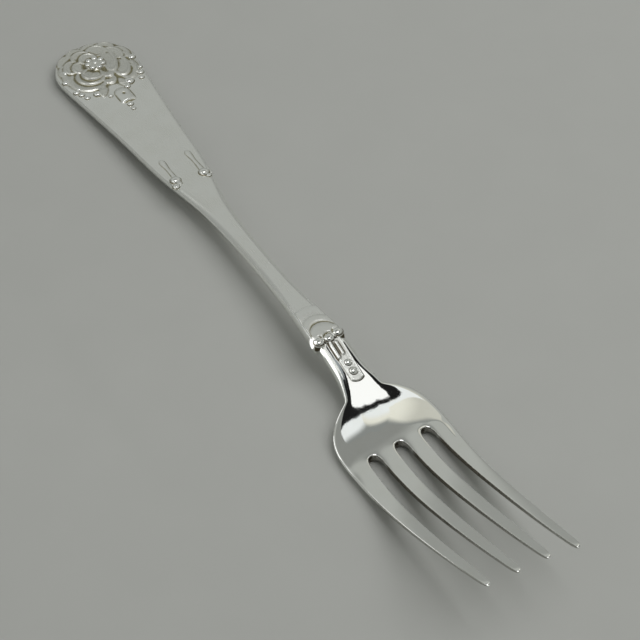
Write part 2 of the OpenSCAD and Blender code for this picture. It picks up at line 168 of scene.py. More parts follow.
class Plan:
    """Outline, heights and thicknesses of the fork in millimetres, with X along the fork."""

    REST_CUT = 0.08
    REST_LEN = 3.0
    HEEL_BLEND = 8.0
    TINE_BLEND = 14.0
    TINE_LIFT = 3.0
    TINE_BOW = 0.8
    TIP_TAPER = 0.16
    FLARE_POWER = 1.5
    SHOULDER_POWER = 4.0
    END_HALF = 1.2
    COLLAR_HALF = 3.4
    # Distances from the handle's end to the end of the blade and to the start and end of the stem.
    BLADE_END, STEM_START, STEM_END = 48, 64, 88
    # Distance from the handle's end, then half the width there.
    HANDLE_KNOTS = ((32, 6.6), (BLADE_END, 5.15), (STEM_START, 2.7), (STEM_END, 2.1))

    def __init__(self, sizes):
        for name in ForkSizes.__annotations__:
            value = getattr(sizes, name)
            setattr(self, name, value if name == "levels" else value / MM)
        self.end_x = -(self.handle_len + self.neck_len + self.bowl_len + self.tine_len) / 2
        self.collar_x = self.end_x + self.handle_len
        self.head_x = self.collar_x + self.neck_len
        self.root_x = self.head_x + self.bowl_len
        self.slot_x = self.root_x + self.slot_w / 2
        self.tip_x = self.root_x + self.tine_len
        climb = self.collar_z - self.end_t + self.REST_CUT
        self.handle_slope = climb / (self.collar_x - self.end_x - self.REST_LEN)
        heel = self.rise(self.bowl_len, self.HEEL_BLEND)
        self.heel_grade = (self.shoulder_z - self.floor_z) / heel
        self.neck_slope = self.heel_grade * self.bowl_len / math.hypot(self.bowl_len, self.HEEL_BLEND)
        climb = self.rise(self.tine_len - self.TINE_LIFT, self.TINE_BLEND)
        self.tine_grade = (self.tip_z - self.floor_z) / climb

    @staticmethod
    def rise(distance, blend):
        return np.sqrt(distance * distance + blend * blend) - blend

    def handle_half(self, x):
        start = self.end_x + self.end_round
        turn = np.clip(1 - (x - self.end_x) / self.end_round, 0, 1)
        oval = self.end_w / 2 * np.sqrt(1 - turn * turn)
        sides = [(self.end_x + distance, half) for distance, half in self.HANDLE_KNOTS]
        knots = [(start, self.end_w / 2), *sides, (self.collar_x, self.COLLAR_HALF)]
        return np.where(x < start, np.maximum(oval, self.END_HALF), hermite(x, knots))

    def handle_top(self, x):
        return self.collar_z + self.handle_slope * (x - self.collar_x)

    def handle_low(self, x):
        places = [self.end_x + self.BLADE_END, self.end_x + self.STEM_END]
        thick = np.interp(x, places, [self.end_t, self.stem_t])
        return np.maximum(0, self.handle_top(x) - thick)

    def handle_edge(self, x):
        stem = [self.end_x + distance for distance in (self.BLADE_END, self.STEM_START, self.STEM_END)]
        places = [*stem, self.collar_x - 2]
        return np.interp(x, places, [0.45, 1.0, 1.0, 0.5])

    def fore_half(self, x):
        knots = [(self.collar_x, self.neck_w / 2), (self.collar_x + 6, self.neck_w / 2),
                 (self.collar_x + 9, self.neck_w / 2 + 0.4), (self.head_x, self.shoulder_w / 2)]
        t = np.clip((x - self.head_x) / (self.slot_x - self.head_x), 0, 1)
        share = 1 - (1 - t) ** self.SHOULDER_POWER
        spread = self.shoulder_w / 2 + (self.head_w - self.shoulder_w) / 2 * share
        return np.where(x < self.head_x, hermite(x, knots), spread)

    def fore_mid(self, x):
        """Height of the top on the middle line, from the collar to the tips."""
        neck = self.shoulder_z + self.neck_slope * (self.head_x - x)
        heel = self.heel_grade * self.rise(np.maximum(0, self.root_x - x), self.HEEL_BLEND)
        climb = self.tine_grade * self.rise(np.maximum(0, x - self.root_x - self.TINE_LIFT), self.TINE_BLEND)
        return np.where(x < self.head_x, neck, self.floor_z + heel + climb)

    def fore_top(self, x, y):
        """Height of the top, which falls off to both sides less and less from the neck to the tines."""
        knots = [(self.collar_x, 0.055), (self.head_x - 6.5, 0.053), (self.head_x - 4, 0.042),
                 (self.head_x - 2.5, 0.031), (self.head_x - 0.5, 0.0215), (self.head_x + 1.5, 0.0138),
                 (self.head_x + 3.5, 0.0085), (self.head_x + 6, 0.0052), (self.root_x - 3, 0.003),
                 (self.root_x, 0.0017), (self.root_x + 4, 0)]
        return self.fore_mid(x) - hermite(x, knots) * y * y

    def fore_low(self, x):
        thick = np.interp(x, [self.head_x, self.root_x, self.tip_x], [2.8, 2.0, 1.0])
        return np.maximum(0, self.fore_mid(x) - thick)

    def fore_edge(self, x):
        places = [self.head_x - 5, self.head_x - 3, self.head_x + 1, self.root_x, self.tip_x]
        return np.interp(x, places, [0.6, 0.3, 0.36, 0.4, 0.22])

    def tine_share(self, x):
        """Share of the way from the slots' ends to the tips."""
        return np.clip((x - self.slot_x) / (self.tip_x - self.slot_x), 0, 1)

    def tine_mid(self, lane, x):
        t = self.tine_share(x)
        return lane * (self.pitch + self.TINE_BOW * t * (1 - t))

    def flare(self, lane, x):
        fade = np.maximum(0, 1 - (x - self.slot_x) / self.flare_len) ** self.FLARE_POWER
        return self.root_flare * fade if abs(lane) > 1 else 0 * fade

    def taper(self, x):
        """Share of a tine's width that is left near its tip."""
        return 1 - self.TIP_TAPER * smooth(self.tip_x - 9, self.tip_x - 1.5, x)

    def tine_half(self, x):
        broad = self.pitch - self.slot_w
        return (broad + (self.tip_w - broad) * self.tine_share(x)) / 2


class Row(NamedTuple):
    """Control points of one section: top and low from left to right, walls as (upper, lower)."""

    top: list
    low: list
    left: tuple
    right: tuple


class Cage:
    """Control points and four-sided faces of a subdivision cage, in millimetres."""

    WALL_SHARE = 0.38

    def __init__(self):
        self.points, self.faces, self.regions = [], [], []
        self.region = 0

    def add(self, x, y, z):
        self.points.append((float(x), float(y), float(z)))
        return len(self.points) - 1

    def face(self, *corners):
        self.faces.append(corners)
        self.regions.append(self.region)

    def wall(self, x, y, high, low, edge, belly=0.0):
        """Two points of a side wall: an edge's radius down, and that or the belly's share up."""
        thick = float(high - low)
        ease = min(float(edge), self.WALL_SHARE * thick)
        return self.add(x, y, high - ease), self.add(x, y, low + max(ease, belly * thick))

    def band(self, first, second):
        """Faces between two lists of points of the same length."""
        for a, b, c, d in zip(first, first[1:], second[1:], second):
            self.face(a, b, c, d)

    def join(self, a, b):
        """Faces between two sections."""
        self.band(a.top, b.top)
        self.band(a.low, b.low)
        self.band([a.top[0], *a.left, a.low[0]], [b.top[0], *b.left, b.low[0]])
        self.band([a.top[-1], *a.right, a.low[-1]], [b.top[-1], *b.right, b.low[-1]])

    def close(self, row, walls):
        """End wall of a section, from its left wall over the given walls to its right wall."""
        walls = [row.left, *walls, row.right]
        upper = [w[0] for w in walls]
        lower = [w[1] for w in walls]
        self.band(row.top, upper)
        self.band(upper, lower)
        self.band(lower, row.low)

    def subdivided(self, name, levels):
        """The cage's smooth mesh in metres. A face's material index is its region."""
        mesh = bpy.data.meshes.new(name)
        mesh.from_pydata([tuple(c * MM for c in p) for p in self.points], [], self.faces)
        mesh.polygons.foreach_set("material_index", self.regions)
        for _ in range(max(self.regions) + 1):
            mesh.materials.append(None)
        face_outward(mesh)
        obj = linked(name, mesh)
        modifier = obj.modifiers.new("Smooth", "SUBSURF")
        modifier.levels = levels
        modifier.render_levels = levels
        return applied(obj)


def face_outward(mesh):
    """Turns the faces of a closed mesh outward."""
    form = bmesh.new()
    form.from_mesh(mesh)
    bmesh.ops.recalc_face_normals(form, faces=form.faces)
    form.to_mesh(mesh)
    form.free()


def shade_smooth(mesh):
    """Shades every face of a mesh smooth."""
    mesh.polygons.foreach_set("use_smooth", np.ones(len(mesh.polygons), bool))


def linked(name, data):
    """A new object in the scene."""
    obj = bpy.data.objects.new(name, data)
    bpy.context.scene.collection.objects.link(obj)
    return obj


def remove(obj):
    """Removes an object and its mesh."""
    mesh = obj.data
    bpy.data.objects.remove(obj)
    bpy.data.meshes.remove(mesh)


def applied(obj):
    """A plain mesh of an object with its modifiers applied. The object goes."""
    graph = bpy.context.evaluated_depsgraph_get()
    mesh = bpy.data.meshes.new_from_object(obj.evaluated_get(graph))
    mesh.name = obj.name
    remove(obj)
    return mesh


def point_values(mesh, name, values):
    """Stores one number for each point of a mesh."""
    attribute = mesh.attributes.get(name) or mesh.attributes.new(name, "FLOAT", "POINT")
    attribute.data.foreach_set("value", np.asarray(values, np.float32).ravel())


def vectors(items, name):
    """The vectors of that name of all the items, one in a row."""
    values = np.empty(len(items) * 3, np.float32)
    items.foreach_get(name, values)
    return values.reshape(-1, 3).astype(float)


def points_and_normals(mesh):
    """A mesh's points in metres and its normals."""
    return vectors(mesh.vertices, "co"), vectors(mesh.vertex_normals, "vector")


def bend(mesh):
    """How strongly each point's surroundings bend outward, per millimetre."""
    points, normals = points_and_normals(mesh)
    points = points / MM
    pairs = np.empty(len(mesh.edges) * 2, np.int32)
    mesh.edges.foreach_get("vertices", pairs)
    a, b = pairs.reshape(-1, 2).T
    gap = points[b] - points[a]
    span = np.maximum((gap * gap).sum(1), TINY * TINY)
    total = np.zeros(len(points))
    count = np.zeros(len(points))
    for here, there, sign in ((a, b, -1), (b, a, 1)):
        np.add.at(total, here, 2 * sign * (normals[here] * gap).sum(1) / span)
        np.add.at(count, here, 1)
    return total / np.maximum(count, 1)


def material(name):
    found = bpy.data.materials.get(name)
    if found is None:
        raise RuntimeError(f"the material {name} has not been made yet")
    return found


def place(name, mesh, finish, slot, nodes):
    """Makes a piece of a mesh, lets it ride on the fork and take the place of its CAD nodes."""
    mesh.materials.clear()
    mesh.materials.append(material(finish))
    mesh.polygons.foreach_set("material_index", np.zeros(len(mesh.polygons), np.int32))
    obj = linked(name, mesh)
    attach(obj, "root")
    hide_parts(*nodes)


# Places along the fork at which a cage has a section.
HANDLE_STATIONS = (-68, -64, -59, -54, -50, -46, -42.5, -39, -36, -33, -30, -27, -24, -20, -16, -11, -6, -1,
                   4, 8.5, 12.5, 15.5, 17.8, 19.4)
FORE_STATIONS = (22.5, 25, 27.5, 30, 31.6, 32.5, 33.2, 34.2, 35.6, 37.4, 39.4, 41.4, 43.0)
TINE_STATIONS = (47.4, 50, 53, 56.5, 60, 64, 68, 72, 76, 79.5, 82.2, 83.8)
# Distance before the tip, then the shares of a tine's width and thickness that are left there.
TINE_TIPS = ((1.3, 0.76, 0.97), (0.5, 0.56, 0.82), (0, 0.3, 0.2))
# Lanes count the pitch from the middle line.
TINE_LANES = (-1.5, -0.5, 0.5, 1.5)
SLOT_LANES = (-1, 0, 1)
SLOT_NARROW = 0.6
SLOT_SHIFT = 0.05
SLOT_EDGE = 0.15
TINE_EDGE = 0.1
BELLY = 0.5
NECK_OVERLAP = 0.5
NECK_EASE = 0.3
NECK_END_EDGE = 0.5
HEAD_SHARES = (1.0, 0.702, 0.385, 0.159)
# Degrees round the handle's oval end, then places along its sides up to the first section.
CORNER_TURN = 52
SIDE_TURNS = (CORNER_TURN, 68, 83)
END_SIDES = (-75.0, -71.8)
COLUMNS = 8
COLLAR_EASE = 0.4


def mirrored(places):
    """Places on the left side, from the edge to the middle, followed by the same on the right."""
    return [-p for p in places] + list(reversed(places))


def handle_columns(inner):
    second = max(0.6 * inner, inner - 0.9)
    return mirrored([inner, second, 0.5 * second, 0.17 * second])


def handle_cage(plan):
    """Cage of the handle: a half-oval end, straight sections and a flat end at the collar."""
    cage = Cage()
    start = plan.end_x + plan.end_round
    edge = float(plan.handle_edge(plan.end_x))
    first_x = float(HANDLE_STATIONS[0])

    def oval(turn, inset):
        angle = math.radians(turn)
        x = start - (plan.end_round - inset) * math.cos(angle)
        return x, (plan.end_w / 2 - inset) * math.sin(angle)

    def wall(x, y, ease):
        return cage.wall(x, y, plan.handle_top(x), plan.handle_low(x), ease)

    def section(inner, left, right, ease):
        tops = [cage.add(x, y, plan.handle_top(x)) for x, y in inner]
        lows = [cage.add(x, y, plan.handle_low(x)) for x, y in inner]
        return Row(tops, lows, wall(*left, ease), wall(*right, ease))

    first_half = float(plan.handle_half(first_x))
    straight = np.array([(first_x, y) for y in handle_columns(first_half - edge)])
    turns = np.linspace(-CORNER_TURN, CORNER_TURN, COLUMNS)
    arc = np.array([oval(t, edge) for t in turns])
    side_inner = [oval(t, edge) for t in SIDE_TURNS]
    side_outer = [oval(t, 0) for t in SIDE_TURNS]
    for x in (*END_SIDES, first_x):
        half = float(plan.handle_half(x))
        side_inner.append((x, half - edge))
        side_outer.append((x, half))
    steps = len(side_inner) - 1
    rows = []
    for i in range(steps + 1):
        v = i / steps
        right = np.array(side_inner[i])
        left = right * (1, -1)
        inner = []
        for j in range(COLUMNS):
            u = j / (COLUMNS - 1)
            along = (1 - v) * arc[j] + v * straight[j]
            across = (1 - u) * left + u * right
            near, far = (1 - u) * arc[0] + u * arc[-1], (1 - u) * straight[0] + u * straight[-1]
            inner.append(along + across - (1 - v) * near - v * far)
        ox, oy = side_outer[i]
        rows.append(section(inner, (ox, -oy), (ox, oy), edge))
    for x in HANDLE_STATIONS[1:]:
        half, ease = float(plan.handle_half(x)), float(plan.handle_edge(x))
        rows.append(section([(x, y) for y in handle_columns(half - ease)], (x, -half), (x, half), ease))
    half, ease = float(plan.handle_half(plan.collar_x)), COLLAR_EASE
    lip = [(plan.collar_x - ease, y) for y in handle_columns(half - ease)]
    rows.append(section(lip, (plan.collar_x, -half), (plan.collar_x, half), ease))
    for a, b in zip(rows, rows[1:]):
        cage.join(a, b)
    cage.close(rows[0], [wall(*oval(t, 0), edge) for t in turns[1:-1]])
    cage.close(rows[-1], [wall(plan.collar_x, y, ease) for _, y in lip[1:-1]])
    return cage


def fore_cage(plan):
    """Cage of the neck (region 0), the bowl (region 1) and the four tines (regions 2 to 5)."""
    cage = Cage()

    def wall(x, y, edge, belly=0.0):
        return cage.wall(x, y, plan.fore_top(x, y), plan.fore_low(x), edge, belly)

    def section(x, wall_x=None, columns=None):
        half, edge = float(plan.fore_half(x)), float(plan.fore_edge(x))
        ys = mirrored([(half - edge) * share for share in HEAD_SHARES])
        if columns:
            ys = [ys[0], *columns, ys[-1]]
        tops = [cage.add(x, y, plan.fore_top(x, y)) for y in ys]
        lows = [cage.add(x, y, plan.fore_low(x)) for y in ys]
        wx = x if wall_x is None else wall_x
        belly = BELLY * float(smooth(plan.head_x - 2, plan.head_x + 2, wx))
        return Row(tops, lows, wall(wx, -half, edge, belly), wall(wx, half, edge, belly)), ys

    start_x = plan.collar_x - NECK_OVERLAP
    row, ys = section(start_x + NECK_EASE, start_x)
    cage.close(row, [wall(start_x, y, NECK_END_EDGE) for y in ys[1:-1]])
    slot_x = plan.root_x - SLOT_SHIFT
    nearest = plan.slot_w / 2 * SLOT_NARROW
    aside = nearest + 0.8 * SLOT_EDGE
    beside = [lane * plan.pitch + side * aside for lane in SLOT_LANES for side in (-1, 1)]
    for x in (*FORE_STATIONS, slot_x - SLOT_EDGE):
        following, _ = section(x, columns=beside if x > FORE_STATIONS[-1] else None)
        cage.join(row, following)
        row = following
        if x >= plan.head_x:
            cage.region = 1
    walls = [row.left]
    for gap, lane in enumerate(SLOT_LANES):
        pair = [wall(slot_x, lane * plan.pitch + side * nearest, SLOT_EDGE) for side in (-1, 1)]
        before, after = 2 * gap + 1, 2 * gap + 2
        cage.band([row.top[before], *pair[0], row.low[before]], [row.top[after], *pair[1], row.low[after]])
        walls += pair
    walls.append(row.right)
    tips = [(plan.tip_x - distance, narrow, thin) for distance, narrow, thin in TINE_TIPS]
    stations = [(plan.slot_x, 1, 1), *((x, float(plan.taper(x)), 1) for x in TINE_STATIONS), *tips]
    for k, lane in enumerate(TINE_LANES):
        cage.region = 1
        last = Row(row.top[2 * k:2 * k + 2], row.low[2 * k:2 * k + 2], walls[2 * k], walls[2 * k + 1])
        for x, narrow, thin in stations:
            extra = float(plan.flare(lane, x)) / 2
            half = float(plan.tine_half(x) + extra) * narrow
            outer = float(plan.fore_edge(x))
            edges = [narrow * (outer if k == end else TINE_EDGE) for end in (0, len(TINE_LANES) - 1)]
            mid = float(plan.tine_mid(lane, x)) + math.copysign(extra, lane)
            high, low = float(plan.fore_top(x, mid)), float(plan.fore_low(x))
            middle, deep = (high + low) / 2, (high - low) / 2 * thin
            high, low = middle + deep, middle - deep
            inner = (mid - half + edges[0], mid + half - edges[1])
            tops, lows = ([cage.add(x, y, z) for y in inner] for z in (high, low))
            sides = [cage.wall(x, y, high, low, e, BELLY) for y, e in zip((mid - half, mid + half), edges)]
            ring = Row(tops, lows, *sides)
            cage.join(last, ring)
            last = ring
            cage.region = 2 + k
        cage.close(last, [])
    return cage


def split_regions(mesh):
    """One closed mesh for each region of a smooth mesh, shaded as if the mesh were still whole."""
    points, normals = points_and_normals(mesh)
    groups = {}
    for polygon in mesh.polygons:
        groups.setdefault(polygon.material_index, []).append(tuple(polygon.vertices))
    pieces = []
    for region in sorted(groups):
        faces = groups[region]
        used = sorted({v for face in faces for v in face})
        index = {v: i for i, v in enumerate(used)}
        faces = [tuple(index[v] for v in face) for face in faces]
        following = {}
        seen = {(a, b) for face in faces for a, b in zip(face, face[1:] + face[:1])}
        for a, b in seen:
            if (b, a) not in seen:
                following[b] = a
        caps = []
        while following:
            first, here = following.popitem()
            loop = [first]
            while here != first:
                loop.append(here)
                here = following.pop(here)
            caps.append(tuple(loop))
        piece = bpy.data.meshes.new("region")
        piece.from_pydata([tuple(points[v]) for v in used], [], faces + caps)
        piece.update()
        shade_smooth(piece)
        corner_normals = []
        for polygon in piece.polygons:
            if polygon.index < len(faces):
                corner_normals += [tuple(normals[used[v]]) for v in polygon.vertices]
            else:
                corner_normals += [tuple(polygon.normal)] * len(polygon.vertices)
        piece.normals_split_custom_set(corner_normals)
        pieces.append((piece, np.array(used)))
    return pieces


def blur(values, reach):
    """Three passes of a running mean along both directions of a grid."""
    for axis in (0, 1):
        for _ in range(3):
            pad = [(0, 0), (0, 0)]
            pad[axis] = (reach + 1, reach)
            total = np.cumsum(np.pad(values, pad, mode="edge"), axis=axis)
            size = 2 * reach + 1
            head = np.take(total, range(size, total.shape[axis]), axis=axis)
            tail = np.take(total, range(0, total.shape[axis] - size), axis=axis)
            values = (head - tail) / size
    return values


def arch(share):
    """A round arch: 1 where the share is 0, and 0 from 1 on."""
    return np.sqrt(np.clip(1 - share * share, 0, 1))


def hump(value, middle, width):
    """A soft hump of height 1."""
    return np.exp(-((value - middle) / width) ** 2)


def upright(slope):
    """Direction that stands square on a face with that slope along X."""
    return np.array([-slope, 0, 1]) / math.hypot(1, slope)


class Relief:
    """A relief sheet on a sloping top face: heights over a grid of places, in millimetres."""

    GROUND = 0.03
    SUNK = -0.14
    SKIRT = 0.5
    VEINS = 0.35
    PETAL_EDGE = 0.6
    # Middle and width of a petal's rolled rim and of the groove within it, as shares of the petal.
    RIM, GROOVE = (0.84, 0.12), (0.6, 0.09)
    GROOVE_DEPTH = 0.13

    def __init__(self, x, y, top, slope, cell):
        self.x, self.y, self.cell = x, y, cell
        self.base = top(x)
        self.lean = upright(slope)
        self.height = np.full(x.shape, self.SUNK)

    def raise_to(self, height, where):
        """Raises the sheet to a height at some places, and nowhere lowers it."""
        self.height = np.maximum(self.height, np.where(where, height, self.SUNK))

    def turned(self, cx, cy, turn, reach, breadth):
        """Places along and across a direction from a middle, as shares of the reach and the breadth."""
        angle = math.radians(turn)
        dx, dy = self.x - cx, self.y - cy
        along = (dx * math.cos(angle) + dy * math.sin(angle)) / reach
        return along, (dy * math.cos(angle) - dx * math.sin(angle)) / breadth

    def petal(self, cx, cy, turn, reach, breadth, rim, cup, roll):
        """A cupped petal that rises outward along turn, with a rolled rim and a steep edge."""
        out, side = self.turned(cx, cy, turn, reach, breadth)
        radius = np.hypot(out, side)
        body = rim * (0.5 + 0.5 * smooth(-1, 1, out)) - cup * rim * np.clip(1 - radius * radius, 0, 1)
        body = body + roll * hump(radius, *self.RIM) - self.GROOVE_DEPTH * rim * hump(radius, *self.GROOVE)
        self.raise_to(body * smooth(0, self.PETAL_EDGE / min(reach, breadth), 1 - radius), radius < 1)

    def leaf(self, cx, cy, turn, half_len, half_w, high):
        """A pointed leaf with a raised midrib and side veins."""
        u, v = self.turned(cx, cy, turn, half_len, half_w)
        share = np.abs(v) / np.maximum(np.clip(1 - u * u, 0, 1), TINY)
        veins = 0.5 + 0.5 * np.cos(9 * (u + 0.7 * np.abs(v)))
        body = high * arch(share) * (1 - self.VEINS * veins * smooth(0, 0.3, share))
        self.raise_to(body, (np.abs(u) < 1) & (share < 1))

    def dome(self, cx, cy, radius_x, radius_y, high):
        """A rounded button."""
        radius = np.hypot((self.x - cx) / radius_x, (self.y - cy) / radius_y)
        self.raise_to(high * arch(radius), radius < 1)

    def finish(self, name, spread, depth, worn=1, film=0.0):
        """The closed mesh, evened out by wear, with grime where the surroundings stand higher."""
        reach = max(1, round(spread / self.cell / 2))
        zone = smooth(0.015, 0.1, blur(np.maximum(self.height, 0), reach))
        ground = self.SUNK + (self.GROUND - self.SUNK) * smooth(0.0, 0.5, zone)
        height = np.maximum(self.height, ground)
        for _ in range(worn):
            height = blur_once(height)
        grime = np.clip((blur(np.maximum(height, 0), reach) - height) / depth, 0, 1) * zone
        grime = np.maximum(grime, film * zone)
        wear = smooth(0.02, 0.12, height - blur(height, max(1, reach // 2)))
        places = np.stack([self.x, self.y, self.base], -1)
        top = (places + height[..., None] * self.lean).reshape(-1, 3)
        index = np.arange(len(top)).reshape(height.shape)
        rim = np.concatenate([index[0], index[1:, -1], index[-1, -2::-1], index[-2:0:-1, 0]])
        foot = places.reshape(-1, 3)[rim] - self.SKIRT * self.lean
        faces = np.stack([index[:-1, :-1], index[1:, :-1], index[1:, 1:], index[:-1, 1:]], -1).reshape(-1, 4)
        base, count = len(top), len(rim)
        lower = base + np.arange(count)
        skirt = np.stack([rim, np.roll(rim, -1), np.roll(lower, -1), lower], -1)
        faces = [*faces.tolist(), *skirt.tolist(), lower[::-1].tolist()]
        mesh = bpy.data.meshes.new(name)
        mesh.from_pydata((np.concatenate([top, foot]) * MM).tolist(), [], faces)
        face_outward(mesh)
        shade_smooth(mesh)
        for attribute, values in ((TARNISH_SHADE_ATTRIBUTE, grime), (WEAR, wear)):
            point_values(mesh, attribute, np.concatenate([values.ravel(), np.zeros(count)]))
        return mesh


def blur_once(values):
    """A light even-out over the nearest cells."""
    padded = np.pad(values, 1, mode="edge")
    rows = (padded[:-2] + 2 * padded[1:-1] + padded[2:]) / 4
    return (rows[:, :-2] + 2 * rows[:, 1:-1] + rows[:, 2:]) / 4


def handle_relief(plan, x, y, cell):
    """An empty relief sheet on the handle's top."""
    return Relief(x, y, plan.handle_top, plan.handle_slope, cell)


def grid(x0, x1, y0, y1, cell):
    xs = np.linspace(x0, x1, max(2, round((x1 - x0) / cell)))
    ys = np.linspace(y0, y1, max(2, round((y1 - y0) / cell)))
    return np.meshgrid(xs, ys, indexing="ij")


def outline_grid(plan, x0, x1, margin, cell):
    """A grid on the handle whose long sides follow the handle's outline."""
    xs = np.linspace(x0, x1, round((x1 - x0) / cell))
    shares = np.linspace(-1, 1, round(plan.end_w / cell))
    half = plan.handle_half(xs) - margin
    return np.repeat(xs[:, None], len(shares), 1), half[:, None] * shares[None, :]


class Wire:
    """A value in a node tree that can take part in sums."""

    def __init__(self, web, socket):
        self.web, self.socket = web, socket

    def math(self, kind, first, second):
        return self.web.node("ShaderNodeMath", {"operation": kind}, {0: first, 1: second})

    def __add__(self, other):
        return self.math("ADD", self, other)

    def __radd__(self, other):
        return self.math("ADD", other, self)

    def __sub__(self, other):
        return self.math("SUBTRACT", self, other)

    def __rsub__(self, other):
        return self.math("SUBTRACT", other, self)

    def __mul__(self, other):
        return self.math("MULTIPLY", self, other)

    def __rmul__(self, other):
        return self.math("MULTIPLY", other, self)

    def step(self, low, high):
        """0 below low, 1 above high and an eased step between them."""
        return self.web.node("ShaderNodeMapRange", {"interpolation_type": "SMOOTHSTEP"},
                             {"Value": self, "From Min": low, "From Max": high})


class Web:
    """Makes nodes in a tree."""

    def __init__(self, tree):
        self.tree = tree

    def node(self, kind, settings=None, values=None, out=0):
        """A node of a kind, with settings set first and then socket values or links."""
        made = self.tree.nodes.new(kind)
        for name, value in (settings or {}).items():
            setattr(made, name, value)
        for name, value in (values or {}).items():
            socket = made.inputs[name]
            if isinstance(value, Wire):
                self.tree.links.new(value.socket, socket)
            else:
                socket.default_value = value
        return Wire(self, made.outputs[out]) if made.outputs else made

    def mix(self, share, first, second):
        """A colour between two colours."""
        settings = {"data_type": "RGBA", "clamp_factor": True}
        return self.node("ShaderNodeMix", settings, {0: share, 6: first, 7: second}, out=2)

    def noise(self, place, scale, detail, roughness):
        values = {"Vector": place, "Scale": scale, "Detail": detail, "Roughness": roughness}
        return self.node("ShaderNodeTexNoise", None, values)

    def vector(self, kind, place, other, out=0):
        """A vector calculation with another vector."""
        return self.node("ShaderNodeVectorMath", {"operation": kind}, {0: place, 1: other}, out)


def empty_web(owner):
    """The node tree of a material or a world, emptied."""
    owner.use_nodes = True
    owner.node_tree.nodes.clear()
    return Web(owner.node_tree)


def opaque(colour, share=1.0):
    """A share of a colour, with full alpha."""
    return (*(share * c for c in colour), 1.0)


def make_silver(name, finish, polish, tarnish, grain, gloss=0.2):
    """Silver with fine polishing lines, dull patches, bright worn edges, tarnish in its recesses and painted
    shade where a piece's mesh marks it.
    """
    web = empty_web(bpy.data.materials.new(name))
    mm = web.vector("MULTIPLY", web.node("ShaderNodeTexCoord", out="Object"), (1 / MM, 1 / MM, 1 / MM))
    lines = web.vector("MULTIPLY", mm, (0.12, 7.0, 7.0))
    cross = web.vector("MULTIPLY", mm, (3.0, 0.5, 3.0))
    grime = web.node("ShaderNodeAttribute", {"attribute_name": TARNISH_SHADE_ATTRIBUTE}, out=2)
    wear = web.node("ShaderNodeAttribute", {"attribute_name": WEAR}, out=2)
    clouds = web.noise(mm, 0.22, 3.0, 0.55)
    specks = web.noise(mm, 3.2, 3.0, 0.6)
    scratch = web.noise(lines, 1.0, 2.0, 0.5)
    fine = web.noise(cross, 1.3, 2.0, 0.5)
    # The tarnish colour comes in where the mesh marks tarnish, and on the blank and the handle also where it
    # marks painted shade.
    stain_and_shade = (grime * (0.55 + specks * 0.9)).step(0.05, 0.95)
    film = clouds.step(0.35, 0.75) * 0.5 + specks.step(0.4, 0.75) * 0.2
    dulled = tuple(c * f for c, f in zip(finish.silver, (0.95, 0.945, 0.925)))
    clean = web.mix(film, opaque(finish.silver), opaque(dulled))
    bright = web.mix(wear * 0.7, clean, opaque(finish.silver, 1.03))
    brown = web.mix(specks.step(0.35, 0.75), opaque(tarnish), opaque(tarnish, 0.55))
    colour = web.mix(stain_and_shade, bright, brown)
    dull = (1.0 + clouds.step(0.3, 0.8) * 0.35 + scratch.step(0.45, 0.8) * 0.45) * (1.0 - wear * gloss)
    rough = polish * dull + stain_and_shade * 0.25
    relief = scratch * 0.5 + fine * 0.4 + specks * 0.5 + stain_and_shade * specks * 1.5
    normal = web.node("ShaderNodeBump", None, {"Strength": grain, "Distance": 0.02 * MM, "Height": relief})
    shader = web.node("ShaderNodeBsdfPrincipled", None,
                      {"Base Color": colour, "Metallic": 1.0, "Roughness": rough, "Normal": normal})
    web.node("ShaderNodeOutputMaterial", None, {"Surface": shader})


def make_floor(name, finish):
    """A plain pale floor with a faint unevenness."""
    web = empty_web(bpy.data.materials.new(name))
    soft = web.noise(web.node("ShaderNodeTexCoord", out="Object"), 60.0, 3.0, 0.5)
    colour = web.mix(soft, opaque(finish.floor, 0.97), opaque(finish.floor, 1.03))
    shader = web.node("ShaderNodeBsdfPrincipled", None,
                      {"Base Color": colour, "Roughness": 0.75, "Specular IOR Level": 0.25})
    web.node("ShaderNodeOutputMaterial", None, {"Surface": shader})


BEAD_HIGH = 0.64
BEAD_SIDES = 32
# Radius and height of a bead's foot and waist, from the middle of its underside to the dome.
BEAD_FOOT = ((0.0, -0.3), (1.16, -0.3), (1.16, -0.06), (1.1, 0.02), (1.04, 0.04))
FOOT_EDGE = 1.15


def bead_form():
    """A bead of radius 1 on its ground: a dome, a thin waist and a flat foot that holds the tarnish."""
    turns = np.radians(np.linspace(8, 90, 12)[:-1])
    dome = [(math.cos(turn), BEAD_HIGH * math.sin(turn)) for turn in turns]
    points, faces, grime, rings = [], [], [], []
    for radius, z in (*BEAD_FOOT, *dome, (0.0, BEAD_HIGH)):
        around = BEAD_SIDES if radius else 1
        first = len(points)
        rings.append([first + k % around for k in range(BEAD_SIDES)])
        for k in range(around):
            angle = 2 * math.pi * k / BEAD_SIDES
            points.append((radius * math.cos(angle), radius * math.sin(angle), z))
        stain_and_shade = float(np.clip(1 - 4 * max(0, z - 0.04), 0, 1)) if radius < FOOT_EDGE else 0.0
        grime += [stain_and_shade] * around
    for a, b in zip(rings, rings[1:]):
        for k in range(BEAD_SIDES):
            m = (k + 1) % BEAD_SIDES
            faces.append(tuple(dict.fromkeys([a[k], a[m], b[m], b[k]])))
    mesh = bpy.data.meshes.new("bead_form")
    mesh.from_pydata(points, [], faces)
    face_outward(mesh)
    shade_smooth(mesh)
    point_values(mesh, TARNISH_SHADE_ATTRIBUTE, grime)
    point_values(mesh, WEAR, [smooth(0.6, 1, p[2] / BEAD_HIGH) for p in points])
    return bpy.data.objects.new("bead_form", mesh)


